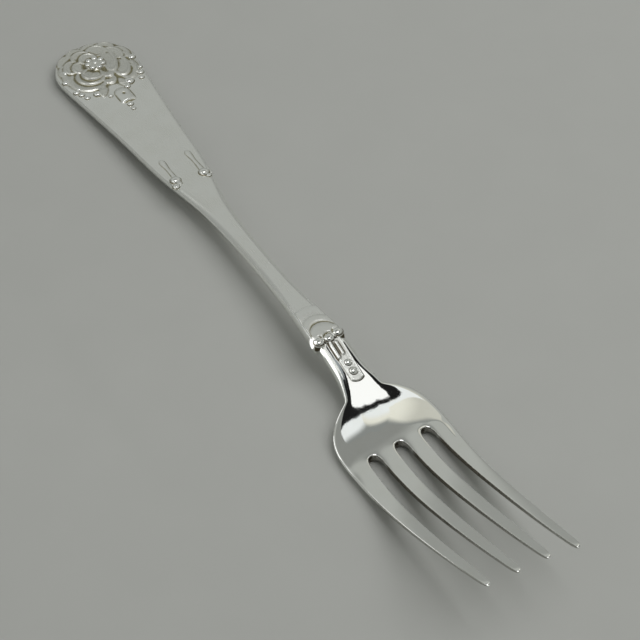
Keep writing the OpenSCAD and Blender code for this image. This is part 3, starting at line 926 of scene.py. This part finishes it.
def bead_tree():
    """Geometry nodes that set a bead on every point, scaled by its radius and leaned with its ground."""
    tree = bpy.data.node_groups.new("bead_rows", "GeometryNodeTree")
    for name, kind in (("Places", "NodeSocketGeometry"), ("Bead", "NodeSocketObject"),
                       ("Lean", "NodeSocketVector"), ("Finish", "NodeSocketMaterial")):
        tree.interface.new_socket(name, in_out="INPUT", socket_type=kind)
    tree.interface.new_socket("Beads", in_out="OUTPUT", socket_type="NodeSocketGeometry")
    web = Web(tree)
    entry = tree.nodes.new("NodeGroupInput")
    given = {s.name: Wire(web, s) for s in entry.outputs if s.name}
    bead = web.node("GeometryNodeObjectInfo", None, {"Object": given["Bead"]}, out="Geometry")
    radius = web.node("GeometryNodeInputNamedAttribute", {"data_type": "FLOAT"}, {"Name": "radius"})
    turn = web.node("FunctionNodeEulerToRotation", None, {0: given["Lean"]})
    rows = web.node("GeometryNodeInstanceOnPoints", None,
                    {"Points": given["Places"], "Instance": bead, "Rotation": turn, "Scale": radius})
    plain = web.node("GeometryNodeRealizeInstances", None, {"Geometry": rows})
    dressed = web.node("GeometryNodeSetMaterial", None, {"Geometry": plain, "Material": given["Finish"]})
    web.node("NodeGroupOutput", None, {"Beads": dressed})
    return tree


def bead_mesh(name, places, top, slope, form, tree, finish):
    """A plain mesh of beads at (x, y, width, lift) places in millimetres on a sloping face."""
    points = [np.array([x, y, float(top(x))]) + lift * upright(slope) for x, y, _, lift in places]
    mesh = bpy.data.meshes.new(name)
    mesh.from_pydata([tuple(p * MM) for p in points], [], [])
    point_values(mesh, "radius", [width / 2 * MM for _, _, width, _ in places])
    obj = linked(name, mesh)
    modifier = obj.modifiers.new("Beads", "NODES")
    modifier.node_group = tree
    values = {"Bead": form, "Lean": (0.0, -math.atan(slope), 0.0), "Finish": material(finish)}
    for item in tree.interface.items_tree:
        if item.in_out == "INPUT" and item.name in values:
            modifier[item.identifier] = values[item.name]
    return applied(obj)


class FORK_OT_finishes(bpy.types.Operator):
    """Makes the silver of the blank, the tarnished silver of the relief and the floor's finish"""

    bl_idname = "fork.make_finishes"
    bl_label = "Make finishes"

    def execute(self, context):
        finish = context.scene.fork_finish
        # The bright and satin finishes take the soot colour, which on them is painted shade as well as
        # tarnish.
        make_silver("bright_silver", finish, finish.polish, finish.soot, 0.05)
        make_silver("satin_silver", finish, finish.satin, finish.soot, 0.09)
        make_silver("relief_silver", finish, finish.relief, finish.patina, 0.09)
        make_silver("bead_silver", finish, finish.bead, finish.tarnish, 0.07)
        make_silver("panel_silver", finish, finish.panel, finish.soot, 0.05, 0.85)
        make_floor("pale_floor", finish)
        return {"FINISHED"}


WORN_BEND = (0.25, 1.6)
# Strength of the painted shade on the handle's end face at the collar.
COLLAR_PAINTED_SHADE = 1.6


class FORK_OT_handle(bpy.types.Operator):
    """Builds the handle from its half-oval end to the collar"""

    bl_idname = "fork.build_handle"
    bl_label = "Handle"

    def execute(self, context):
        plan = Plan(context.scene.fork_sizes)
        mesh = handle_cage(plan).subdivided("handle_body", plan.levels)
        shade_smooth(mesh)
        point_values(mesh, WEAR, smooth(*WORN_BEND, bend(mesh)))
        points, normals = points_and_normals(mesh)
        # Painted shade on the upper part of the handle's end face, where the neck leaves it: a dark notch in
        # the soot colour.
        grime = COLLAR_PAINTED_SHADE * smooth(0.2, 0.5, normals[:, 0])
        point_values(mesh, TARNISH_SHADE_ATTRIBUTE, grime * smooth(2.3, 1.3, plan.collar_z - points[:, 2] / MM))
        place("handle_body", mesh, "satin_silver", "silver", ["handle"])
        return {"FINISHED"}


# Bends of this one fork, with pairs of places between which each comes or goes.
SKEW, SKEW_COMES, SKEW_GOES = 0.07, (28, 34), (78, 54)
TIP_SKEW, TIP_SKEW_COMES = 0.06, (60, 86)
TIP_DROP, TIP_ASIDE, TIP_DROP_COMES = 1.3, 0.35, (48, 84)
OUTER_TINE = (4.5, 6.5)
NECK_SHIFT, NECK_SPREAD, NECK_COMES, NECK_GOES = 0.2, 0.07, (20.4, 21.6), (34, 30)
# Place along the fork, then the share by which its right side is wider there.
SHOULDER_SPREAD = ((20.4, 0), (21.6, 0.15), (24, 0.23), (26, 0.27), (28, 0.27), (30, 0.25), (32, 0.2),
                   (33.5, 0.14), (35, 0.08), (37, 0.03), (40, 0), (42, 0))
# Lanes between which the fork's outer wall gives way to the walls of the slots.
INNER_WALLS = (-1.55, -1.45)


def fore_shift(points):
    """How far each point of the neck, bowl and tines is bent out of the even shape."""
    x, y = points[:, 0], points[:, 1]
    skew = SKEW * smooth(*SKEW_COMES, x) * smooth(*SKEW_GOES, x)
    short = TIP_SKEW * smooth(*TIP_SKEW_COMES, x) * np.minimum(0, y)
    drop = smooth(*TIP_DROP_COMES, x) * smooth(*OUTER_TINE, y)
    shift = smooth(*NECK_COMES, x) * smooth(*NECK_GOES, x) * (NECK_SHIFT + NECK_SPREAD * np.minimum(0, y))
    shift += hermite(x, SHOULDER_SPREAD) * np.maximum(0, y) + TIP_ASIDE * drop
    return np.stack([short - skew * y, shift, -TIP_DROP * drop], -1)


def fore_tarnish_and_shade(plan, points, normals):
    """Tarnish and painted shade round the slots' ends, darker on their left halves, and painted shade on the
    tines' walls that face -Y, away from the light.
    """
    past, y = points[:, 0] - plan.slot_x, points[:, 1]
    grime = np.zeros(len(points))
    for lane in SLOT_LANES:
        across = y - lane * plan.pitch
        # Darker on the left half of each slot's end, the half that the light misses: tarnish and painted
        # shade.
        grime += smooth(2.6, 1.5, np.hypot(past, across)) * (0.5 + 0.5 * smooth(0.7, -0.7, across))
    grime = grime * smooth(0.99, 0.8, normals[:, 2])
    # Painted shade on the walls that face -Y, away from the light, fading towards the tips.
    inside = smooth(*INNER_WALLS, y / plan.pitch) * smooth(0, 3, past)
    inside = inside * (0.85 - 0.35 * smooth(55, 84, points[:, 0]))
    outside = 0.5 * smooth(2, 10, past)
    grime = np.maximum(grime, np.maximum(inside, outside) * smooth(-0.3, -0.8, normals[:, 1]))
    # Slot-end walls that face +X: tarnish and painted shade.
    ends = smooth(-4, -2.5, past) * smooth(1, 0, past)
    return np.maximum(grime, 0.6 * ends * smooth(0.3, 0.7, normals[:, 0]))


class FORK_OT_fore(bpy.types.Operator):
    """Builds the neck, the bowl and the four tines"""

    bl_idname = "fork.build_fore"
    bl_label = "Neck, bowl and tines"

    def execute(self, context):
        plan = Plan(context.scene.fork_sizes)
        whole = fore_cage(plan).subdivided("fore", plan.levels)
        wear = smooth(*WORN_BEND, bend(whole))
        points, normals = points_and_normals(whole)
        points = points / MM
        # Tarnish and painted shade round the slots' ends, and painted shade on the walls that face -Y.
        grime = fore_tarnish_and_shade(plan, points, normals)
        moved = (points + fore_shift(points)) * MM
        whole.vertices.foreach_set("co", moved.astype(np.float32).ravel())
        whole.update()
        names = ["neck_body", "bowl_body", *(f"tine_body_{k + 1}" for k in range(4))]
        nodes = ["neck", "head", *TINE_NODES]
        for (mesh, used), name, node in zip(split_regions(whole), names, nodes):
            mesh.name = name
            point_values(mesh, WEAR, wear[used])
            point_values(mesh, TARNISH_SHADE_ATTRIBUTE, grime[used])
            place(name, mesh, "bright_silver", "silver", [node])
        bpy.data.meshes.remove(whole)
        return {"FINISHED"}


# Petals: middle along and across from the rose's heart, direction, reach, breadth and height of the rim.
OUTER_PETALS = ((3.9, -3.4, -36, 4.3, 4.6, 0.36), (3.9, 4.7, 0, 4.9, 2.7, 0.4),
                (-1.2, -6.2, 255, 2.0, 2.7, 0.42), (-4.2, -4.8, 225, 2.3, 2.6, 0.42),
                (-5.9, -2.2, 195, 2.0, 2.2, 0.42), (-6.0, 1.4, 172, 1.9, 2.2, 0.42),
                (-4.8, 4.4, 140, 2.2, 2.4, 0.42), (-1.5, 6.6, 100, 2.0, 2.8, 0.42))
MIDDLE_PETALS = ((3.2, -2.6, -38, 3.4, 3.6, 0.65), (2.8, 4.4, -10, 4.6, 2.5, 0.7),
                 (-1.7, -4.6, 245, 2.3, 2.8, 0.7), (-4.2, -1.6, 195, 2.2, 2.6, 0.7),
                 (-4.4, 2.2, 160, 2.2, 2.6, 0.7), (-2.0, 5.2, 110, 2.0, 3.0, 0.68),
                 (5.7, 0.4, 5, 2.3, 1.8, 0.6))
INNER_PETALS = ((2.7, -2.0, -40, 2.6, 2.7, 1.0), (0.2, 3.2, -14, 5.2, 1.9, 0.95),
                (3.9, 0.9, 12, 2.2, 1.6, 1.05), (-2.6, -0.6, 205, 2.2, 2.4, 0.95),
                (-0.6, -3.2, 250, 2.2, 2.4, 0.9))
# Rows of petals with the depth of their cups and the height of their rolled rims.
PETAL_ROWS = ((OUTER_PETALS, 0.4, 0.04), (MIDDLE_PETALS, 0.35, 0.06), (INNER_PETALS, 0.35, 0.08))
# Leaves: middle along and across from the rose's heart, direction, half length, half width and height.
ROSE_LEAVES = ((1.6, -7.2, 2, 3.4, 0.95, 0.4), (4.6, 7.0, -8, 2.6, 0.8, 0.45), (0.2, 7.6, 12, 1.6, 0.7, 0.4),
               (8.8, -2.5, -25, 2.2, 1.0, 0.5), (8.5, 2.6, 15, 1.9, 1.0, 0.5))
ROSE_REACH = 11.2
HEART_FOOT, HEART_HIGH = 1.4, 1.05


def rose_middle(plan, sizes):
    """Place of the rose's heart in millimetres."""
    return plan.end_x + sizes.rose_x / MM, sizes.rose_y / MM


class FORK_OT_rose(bpy.types.Operator):
    """Builds the rose's relief: three rows of petals, the heart and the leaves around them"""

    bl_idname = "fork.build_rose"
    bl_label = "Rose"

    def execute(self, context):
        plan = Plan(context.scene.fork_sizes)
        sizes = context.scene.fork_ornament
        cell = sizes.cell / MM
        cx, cy = rose_middle(plan, sizes)
        x, y = outline_grid(plan, plan.end_x + 0.35, cx + ROSE_REACH, 0.28, cell)
        relief = handle_relief(plan, x, y, cell)
        share = sizes.relief_h / MM
        for px, py, turn, half_len, half_w, high in ROSE_LEAVES:
            relief.leaf(cx + px, cy + py, turn, half_len, half_w, high * share)
        for row, cup, roll in PETAL_ROWS:
            for px, py, turn, reach, breadth, rim in row:
                relief.petal(cx + px, cy + py, turn, reach, breadth, rim * share, cup, roll)
        foot = HEART_FOOT * sizes.heart_r / MM
        relief.dome(cx, cy, foot, foot, HEART_HIGH * share)
        mesh = relief.finish("rose_relief", 1.1, 0.12, 4, 0.34)
        nodes = ["rose_heart", "rose_inner_petals", "rose_outer_petals", "rose_leaves"]
        place("rose_relief", mesh, "relief_silver", "silver_relief", nodes)
        return {"FINISHED"}


BUD_START, BUD_END = -67.9, -63.0
BUD_Y, BUD_HALF, BUD_HIGH = 0.7, 1.6, 0.5
BUD_PIT_X, BUD_PIT_Y, BUD_PIT_WIDE, BUD_PIT_DEEP = -65.6, 0.75, 0.4, 0.3


class FORK_OT_bud(bpy.types.Operator):
    """Builds the bud that hangs below the rose"""

    bl_idname = "fork.build_bud"
    bl_label = "Bud"

    def execute(self, context):
        plan = Plan(context.scene.fork_sizes)
        cell = context.scene.fork_ornament.cell / MM
        x, y = grid(BUD_START - 1, BUD_END + 0.8, BUD_Y - BUD_HALF - 1, BUD_Y + BUD_HALF + 1, cell)
        relief = handle_relief(plan, x, y, cell)
        along = np.maximum(0, BUD_START + BUD_HALF - x)
        share = np.hypot(along, y - BUD_Y) / BUD_HALF
        relief.raise_to(BUD_HIGH * arch(share) * smooth(0, 0.12, BUD_END - x), (share < 1) & (x < BUD_END))
        relief.height -= BUD_PIT_DEEP * hump(np.hypot(x - BUD_PIT_X, y - BUD_PIT_Y), 0, BUD_PIT_WIDE)
        mesh = relief.finish("bud_relief", 0.8, 0.09, 3)
        place("bud_relief", mesh, "relief_silver", "silver_relief", ["bud_pendant"])
        return {"FINISHED"}


DROP_X, DROP_Y = (-43.2, -33.0), (1.3, 4.4)
DROP_MIDDLE, DROP_HIGH = 2.95, 0.24
# Place along the fork, then half the width of a bar there.
DROP_WAIST = ((-41.9, 0), (-41.5, 0.55), (-40.8, 0.72), (-38.4, 0.36), (-36.6, 0.42), (-34.5, 0.6))


class FORK_OT_drops(bpy.types.Operator):
    """Builds the two waisted bars of the drops on the blade"""

    bl_idname = "fork.build_drops"
    bl_label = "Drop bars"

    def execute(self, context):
        plan = Plan(context.scene.fork_sizes)
        cell = context.scene.fork_ornament.cell / MM
        whole = bmesh.new()
        for side in (-1, 1):
            x, y = grid(*DROP_X, *sorted(side * edge for edge in DROP_Y), cell)
            relief = handle_relief(plan, x, y, cell)
            half = np.interp(x, *zip(*DROP_WAIST))
            share = np.abs(y - side * DROP_MIDDLE) / np.maximum(half, TINY)
            relief.raise_to(DROP_HIGH * smooth(1, 0.45, share), share < 1)
            mesh = relief.finish("drop_bar", 0.5, 0.06)
            whole.from_mesh(mesh)
            bpy.data.meshes.remove(mesh)
        mesh = bpy.data.meshes.new("drop_bars")
        whole.to_mesh(mesh)
        whole.free()
        place("drop_bars", mesh, "relief_silver", "silver_relief", ["drop_stems"])
        return {"FINISHED"}


COLLAR_BEADS = ((20.4, -2.2), (20.4, -0.05), (19.8, 2.1))
BEAD_CLEAR = 1.1
SHELL_X, SHELL_Y, SHELL_END = 18.9, -0.1, 20.4
SHELL_R, SHELL_HIGH, SHELL_POWER = 2.75, 0.55, 0.35
SHELL_HALF = 3.0
SHELL_LOBES = ((19.2, -2.2), (18.7, 2.1))
LOBE_X, LOBE_Y, LOBE_HIGH = 1.0, 0.8, 0.42
# Echoes of the shell: reach, height and width of the ridge.
SHELL_ECHOES = ((5.2, 0.2, 1.1), (7.9, 0.1, 1.2))


class FORK_OT_collar(bpy.types.Operator):
    """Builds the shell on the collar with its two fainter echoes"""

    bl_idname = "fork.build_collar"
    bl_label = "Collar shell"

    def execute(self, context):
        plan = Plan(context.scene.fork_sizes)
        cell = context.scene.fork_ornament.cell / MM
        x, y = grid(9.2, plan.collar_x - 0.3, -SHELL_HALF, SHELL_HALF, cell)
        y = y * np.minimum(1, (plan.handle_half(x) - 0.45) / SHELL_HALF)
        relief = handle_relief(plan, x, y, cell)
        radius = np.hypot(x - SHELL_X, (y - SHELL_Y) * 1.02)
        dome = SHELL_HIGH * np.clip(1 - (radius / SHELL_R) ** 2, 0, 1) ** SHELL_POWER
        clear = np.min([np.hypot(x - bead_x, y - bead_y) for bead_x, bead_y in COLLAR_BEADS], axis=0)
        relief.raise_to(dome, (radius < SHELL_R) & (clear > BEAD_CLEAR) & (x < SHELL_END))
        for lobe_x, lobe_y in SHELL_LOBES:
            relief.dome(lobe_x, lobe_y, LOBE_X, LOBE_Y, LOBE_HIGH)
        back = np.hypot(x - SHELL_X, y * 1.35)
        for reach, high, wide in SHELL_ECHOES:
            inside = np.clip((reach - back) / wide, 0, 1)
            ridge = high * arch(1 - inside) * smooth(0, 0.15, inside)
            ridge = ridge * smooth(1.0, 0.55, np.clip((reach - back) / (2.2 * wide), 0, 1))
            relief.raise_to(ridge - 0.02, (back < reach) & (x < SHELL_X))
        mesh = relief.finish("shell_relief", 0.6, 0.09)
        place("shell_relief", mesh, "relief_silver", "silver_relief", ["collar_shell"])
        return {"FINISHED"}


PANEL_Y = 0.42
PANEL_HALF, PANEL_LEN, PANEL_HIGH = 1.9, 9.3, 0.3
# Middle line, start and end of each bar of the fluting.
PANEL_BARS = ((-0.5, 21.4, 24.9), (0.6, 21.8, 24.4))
BAR_HALF, BAR_HIGH = 0.32, 0.26


class FORK_OT_panel(bpy.types.Operator):
    """Builds the raised panel of the neck with its two flutes"""

    bl_idname = "fork.build_panel"
    bl_label = "Neck panel"

    def execute(self, context):
        plan = Plan(context.scene.fork_sizes)
        cell = 0.7 * context.scene.fork_ornament.cell / MM
        x, y = grid(plan.collar_x + 0.1, plan.collar_x + 9.9, -PANEL_HALF, PANEL_HALF, cell)
        relief = Relief(x, y, plan.fore_mid, -plan.neck_slope, cell)
        half = np.interp(x, [plan.collar_x, plan.collar_x + 9], [1.5, 1.35])
        half = half * np.sqrt(np.clip((plan.collar_x + PANEL_LEN - x) / 0.5, 0, 1))
        inset = half - np.abs(y - PANEL_Y)
        right = smooth(-0.8, 0.8, y - PANEL_Y)
        plate = PANEL_HIGH * smooth(0, 0.5 - 0.34 * right, inset)
        relief.raise_to(plate + 0.2 * right * hump(inset, 0.18, 0.12), inset > 0)
        for mid, start, end in PANEL_BARS:
            run = np.hypot(np.maximum(0, np.maximum(start - x, x - end)), y - mid)
            relief.raise_to(PANEL_HIGH + BAR_HIGH * smooth(BAR_HALF, 0.12, run), run < BAR_HALF)
        mesh = relief.finish("panel_relief", 0.4, 0.07, 1, 0.2)
        place("panel_relief", mesh, "panel_silver", "silver_relief", ["neck_panel"])
        return {"FINISHED"}


SEED_COUNT = 7
SEED_TURN = 8
SEED_LIFT = 0.75
# Places along and across, and widths of the beads.
BORDER_BEADS = ((-78.8, -6.8, 1.3), (-75.7, -8.1, 1.3), (-72.2, -6.6, 1.1), (-71.4, -7.6, 1.2),
                (-70.1, -7.0, 1.1), (-68.6, -6.4, 1.0), (-68.6, -4.0, 1.5), (-68.6, -2.7, 0.9),
                (-66.6, -1.9, 0.9), (-76.5, 8.0, 1.4), (-72.4, 8.0, 0.9), (-70.6, 7.2, 1.2),
                (-68.9, 6.6, 1.0), (-69.1, 3.7, 1.9), (-67.7, 2.6, 1.1))
BORDER_SCALE = 1.18
PENDANT_BEADS = ((-61.9, 0.4, 1.4), (-60.2, 0.3, 1.0))
DROP_BEADS = ((-33.9, 2.9, 2.2), (-32.5, 3.3, 1.1), (-34.6, -3.2, 2.2), (-32.8, -4.0, 1.5))
COLLAR_BEAD_D, COLLAR_BEAD_LIFT = 2.05, -0.15
# Distance from the collar and width of the beads on the neck's panel.
NECK_BEADS = ((5.4, 1.35), (7.3, 1.6))
NECK_BEAD_Y = 0.45


class FORK_OT_beads(bpy.types.Operator):
    """Sets every bead: the rose's seeds, the border, the pendant, the drops, the collar and the neck"""

    bl_idname = "fork.build_beads"
    bl_label = "Beads"

    def execute(self, context):
        plan = Plan(context.scene.fork_sizes)
        sizes = context.scene.fork_ornament
        form, tree = bead_form(), bead_tree()
        cx, cy = rose_middle(plan, sizes)
        ring = sizes.heart_r / MM - 0.1
        turns = [math.radians(SEED_TURN + 360 * k / SEED_COUNT) for k in range(SEED_COUNT)]
        rim = [(cx + ring * math.cos(turn), cy + ring * math.sin(turn)) for turn in turns]
        seeds = [(x, y, sizes.seed_d / MM, SEED_LIFT) for x, y in [(cx, cy), *rim]]
        border = [(x, y, BORDER_SCALE * width, 0.0) for x, y, width in BORDER_BEADS]
        pendant = [(*bead, 0.0) for bead in PENDANT_BEADS]
        drops = [(*bead, 0.0) for bead in DROP_BEADS]
        collar = [(x, y, COLLAR_BEAD_D, COLLAR_BEAD_LIFT) for x, y in COLLAR_BEADS]
        neck = [(plan.collar_x + along, NECK_BEAD_Y, width, PANEL_HIGH) for along, width in NECK_BEADS]
        handle_face = (plan.handle_top, plan.handle_slope)
        neck_face = (plan.fore_mid, -plan.neck_slope)
        rows = (("seed_beads", seeds, handle_face, "rose_seeds", "bead_silver"),
                ("border_domes", border, handle_face, "border_beads", "bead_silver"),
                ("pendant_domes", pendant, handle_face, "pendant_beads", "bead_silver"),
                ("drop_domes", drops, handle_face, "drop_beads", "bead_silver"),
                ("collar_domes", collar, handle_face, "collar_beads", "bright_silver"),
                ("neck_domes", neck, neck_face, "neck_beads", "bright_silver"))
        for name, places, face, node, finish in rows:
            mesh = bead_mesh(name, places, *face, form, tree, finish)
            place(name, mesh, finish, "silver_relief", [node])
        remove(form)
        return {"FINISHED"}


EYE = Vector((0.23606, -0.1292, 0.27767))
FORWARD = Vector((-0.5917, 0.3491, -0.7266))
RIGHT = Vector((0.5097, 0.8604, -0.0017))
AIM = Vector((0.033, 0.0, 0.004))
# Cards over the fork: corners along and across in millimetres.
CARD_Z = 170
TOP_CARD = ((20, 31), (3, 31), (-0.5, 31.5), (0.3, 37), (3, 46), (5.9, 61), (3.2, 79), (-4.6, 95),
            (-8.5, 102), (-8, 107), (20, 105))
STRIP_LEFT = ((-27, 17.6), (-16.8, 25.7), (-7.5, 35.3), (0.2, 49), (-17.7, 57), (-22.7, 46), (-30, 37),
              (-25.5, 24))
STRIP_MIDDLE = ((0.2, 49), (2.2, 62.5), (0.4, 77.5), (-4, 87.4), (-8.6, 96.4), (-12.5, 97.5), (-7, 86),
                (-13, 78), (-20, 72), (-22.5, 66), (-17.7, 57))
STRIP_RIGHT = ((-8.6, 96.4), (-19, 112), (-25, 122), (-28, 132), (-40, 150), (-60, 150), (-43, 131),
               (-21.5, 109.5), (-12.5, 97.5))
CREAM_CARD = ((-6, 78), (-14, 71), (-33, 81.5), (-60, 96.5), (-110, 124), (-110, 175), (-40, 175), (-34, 150),
              (-31, 127.6), (-19.5, 112.5), (-8.2, 96.7))
DARK_CARD = ((-28, -16), (-9, -14), (-4, 0), (1.2, 14), (1.2, 24), (36, 24), (36, 150), (-18, 150),
             (-27, 142), (-29, 133), (-25, 123), (-20, 113), (-10, 95), (-8, 75), (-8, 50), (-17, 30),
             (-27, 20))
NECK_CARD = ((-20, -60), (16, -60), (16, 28), (-20, 28))
# Cards beside the fork: the place of each, then its corners along or across the fork and up.
RIM_CARD_Y, RIM_CARD = -40, ((-22, 6), (20, 6), (20, 30), (-22, 30))
BACK_CARD_X, BACK_CARD = 18, ((-13, 3), (-3.6, 3), (-3.6, 12), (-13, 12))
WHITE = (1, 1, 1)
STRIP_TINT = (0.96, 0.99, 1)
CREAM_TINT = (1, 0.99, 0.89)
CARD_GREY = (0.25, 0.262, 0.255)
NECK_GREY = (0.3, 0.325, 0.34)
DARK_LEVEL = 0.012
# Fades: other colour, direction along and across, and where the other colour ends and the card's own begins.
STRIP_LEFT_FADES = ((CARD_GREY, 0.73, -0.684, -46, -37),)
STRIP_MIDDLE_FADES = (((0.82, 0.81, 0.73), 0.977, 0.3, 12, 18), (CARD_GREY, 0.977, 0.3, 4.9, 11.9))
CREAM_FADES = (((0.57, 0.565, 0.51), 1, 0, -46, -14), (CARD_GREY, 0.555, 1, 63, 72))


class FORK_OT_stage(bpy.types.Operator):
    """Sets the floor, the cards, the soft lights, the room's brightness and the camera"""

    bl_idname = "fork.set_stage"
    bl_label = "Stage"

    def lamp(self, name, toward, distance, size, brightness, across=(0, 1, 0), mirrored=True):
        """A soft square that faces the fork from a direction. It shows in the silver, or else it lights."""
        back, across = Vector(toward).normalized(), Vector(across)
        side = (across - back * across.dot(back)).normalized()
        data = bpy.data.lights.new(name, "AREA")
        data.size = size
        data.energy = brightness * math.pi * size * size
        obj = linked(name, data)
        turn = Matrix((side, back.cross(side), back)).transposed().to_4x4()
        obj.matrix_world = Matrix.Translation(AIM + back * distance) @ turn
        obj.visible_glossy = mirrored
        obj.visible_diffuse = not mirrored

    def card(self, name, corners, brightness, colour=WHITE, fades=()):
        """A card near the fork that only shows in its polished faces and fades to other colours."""
        mesh = bpy.data.meshes.new(name)
        points = [tuple(c * MM for c in corner) for corner in corners]
        mesh.from_pydata(points, [], [tuple(range(len(points)))])
        made = bpy.data.materials.new(name)
        web = empty_web(made)
        shown = opaque(colour, brightness)
        for other, along_x, along_y, low, high in fades:
            spot = web.node("ShaderNodeTexCoord", out="Object")
            share = web.vector("DOT_PRODUCT", spot, (along_x / MM, along_y / MM, 0), "Value").step(low, high)
            shown = web.mix(share, opaque(other), shown)
        glow = web.node("ShaderNodeEmission", None, {"Color": shown, "Strength": 1.0})
        web.node("ShaderNodeOutputMaterial", None, {"Surface": glow})
        mesh.materials.append(made)
        obj = linked(name, mesh)
        obj.visible_camera = False
        obj.visible_diffuse = False
        obj.visible_transmission = False
        obj.visible_shadow = False

    def floor(self):
        mesh = bpy.data.meshes.new("floor")
        form = bmesh.new()
        bmesh.ops.create_grid(form, x_segments=24, y_segments=24, size=1.5)
        form.to_mesh(mesh)
        form.free()
        mesh.materials.append(material("pale_floor"))
        linked("floor", mesh)

    def room(self, scene, brightness):
        """A room that is darker low down, overhead and round the camera."""
        scene.world = bpy.data.worlds.new("room")
        web = empty_web(scene.world)
        look = web.node("ShaderNodeTexCoord", out="Generated")
        height = web.node("ShaderNodeSeparateXYZ", None, {0: look}, out="Z")
        toward = web.vector("DOT_PRODUCT", look, tuple(-FORWARD), "Value")
        level = brightness * (0.74 + 0.26 * height.step(0.3, 0.55) - 0.38 * height.step(0.755, 0.835))
        level = level * (1.0 - 0.85 * toward.step(0.88, 0.97))
        values = {0: level * 0.985, 1: level * 1.01, 2: level * 0.965}
        colour = web.node("ShaderNodeCombineColor", None, values)
        glow = web.node("ShaderNodeBackground", None, {"Color": colour, "Strength": 1.0})
        web.node("ShaderNodeOutputWorld", None, {"Surface": glow})

    def camera(self, scene, lens):
        data = bpy.data.cameras.new("camera")
        data.lens = lens
        data.sensor_width = 36
        data.clip_start, data.clip_end = 0.01, 10
        forward = FORWARD.normalized()
        right = (RIGHT - forward * RIGHT.dot(forward)).normalized()
        turn = Matrix((right, right.cross(forward), -forward)).transposed().to_4x4()
        scene.camera = linked("camera", data)
        scene.camera.matrix_world = Matrix.Translation(EYE) @ turn

    def execute(self, context):
        scene, stage = context.scene, context.scene.fork_stage
        self.floor()
        cards = (("top_card", TOP_CARD, 0, stage.top, WHITE, ()),
                 ("strip_left", STRIP_LEFT, 0, stage.strip, STRIP_TINT, STRIP_LEFT_FADES),
                 ("strip_middle", STRIP_MIDDLE, 0, stage.strip, STRIP_TINT, STRIP_MIDDLE_FADES),
                 ("strip_right", STRIP_RIGHT, 0, stage.strip, STRIP_TINT, ()),
                 ("cream_card", CREAM_CARD, 1, stage.cream, CREAM_TINT, CREAM_FADES),
                 ("dark_card", DARK_CARD, 2, DARK_LEVEL, WHITE, ()),
                 ("neck_card", NECK_CARD, 3, 1.0, NECK_GREY, ()))
        for name, corners, above, brightness, colour, fades in cards:
            self.card(name, [(x, y, CARD_Z + above) for x, y in corners], brightness, colour, fades)
        self.card("rim_card", [(x, RIM_CARD_Y, z) for x, z in RIM_CARD], stage.rim)
        self.card("back_card", [(BACK_CARD_X, y, z) for y, z in BACK_CARD], stage.rim)
        self.lamp("key_light", (0.15, 0.48, 0.87), 1.0, 0.9, stage.key, mirrored=False)
        self.lamp("glint_light", (0.05, -0.02, 1.0), 0.9, 0.42, stage.glint)
        self.lamp("side_light", (-0.26, -0.66, 0.7), 0.8, 0.35, stage.side, (1, 0, 0))
        self.room(scene, stage.room)
        self.camera(scene, stage.lens)
        scene.view_settings.view_transform = "Standard"
        return {"FINISHED"}


STEPS = (FORK_OT_finishes, FORK_OT_handle, FORK_OT_fore, FORK_OT_rose, FORK_OT_bud, FORK_OT_drops,
         FORK_OT_collar, FORK_OT_panel, FORK_OT_beads, FORK_OT_stage)
GROUPS = {"fork_sizes": ForkSizes, "fork_ornament": OrnamentSizes, "fork_finish": FinishSettings,
          "fork_stage": StageSettings}


class FORK_PT_panel(bpy.types.Panel):
    """Steps and settings of the fork"""

    bl_idname = "FORK_PT_panel"
    bl_label = "Dessert fork"
    bl_space_type = "VIEW_3D"
    bl_region_type = "UI"
    bl_category = "Fork"

    def draw(self, context):
        layout = self.layout
        for step in STEPS:
            layout.operator(step.bl_idname)
        for group in (getattr(context.scene, name) for name in GROUPS):
            box = layout.box()
            for name in group.__annotations__:
                box.prop(group, name)


def register():
    for cls in (*GROUPS.values(), *STEPS, FORK_PT_panel):
        bpy.utils.register_class(cls)
    for name, group in GROUPS.items():
        setattr(bpy.types.Scene, name, PointerProperty(type=group))


def unregister():
    for name in GROUPS:
        delattr(bpy.types.Scene, name)
    for cls in reversed((*GROUPS.values(), *STEPS, FORK_PT_panel)):
        bpy.utils.unregister_class(cls)


def main():
    register()
    for step in STEPS:
        group, call = step.bl_idname.split(".")
        getattr(getattr(bpy.ops, group), call)()


if __name__ == "__main__":
    main()
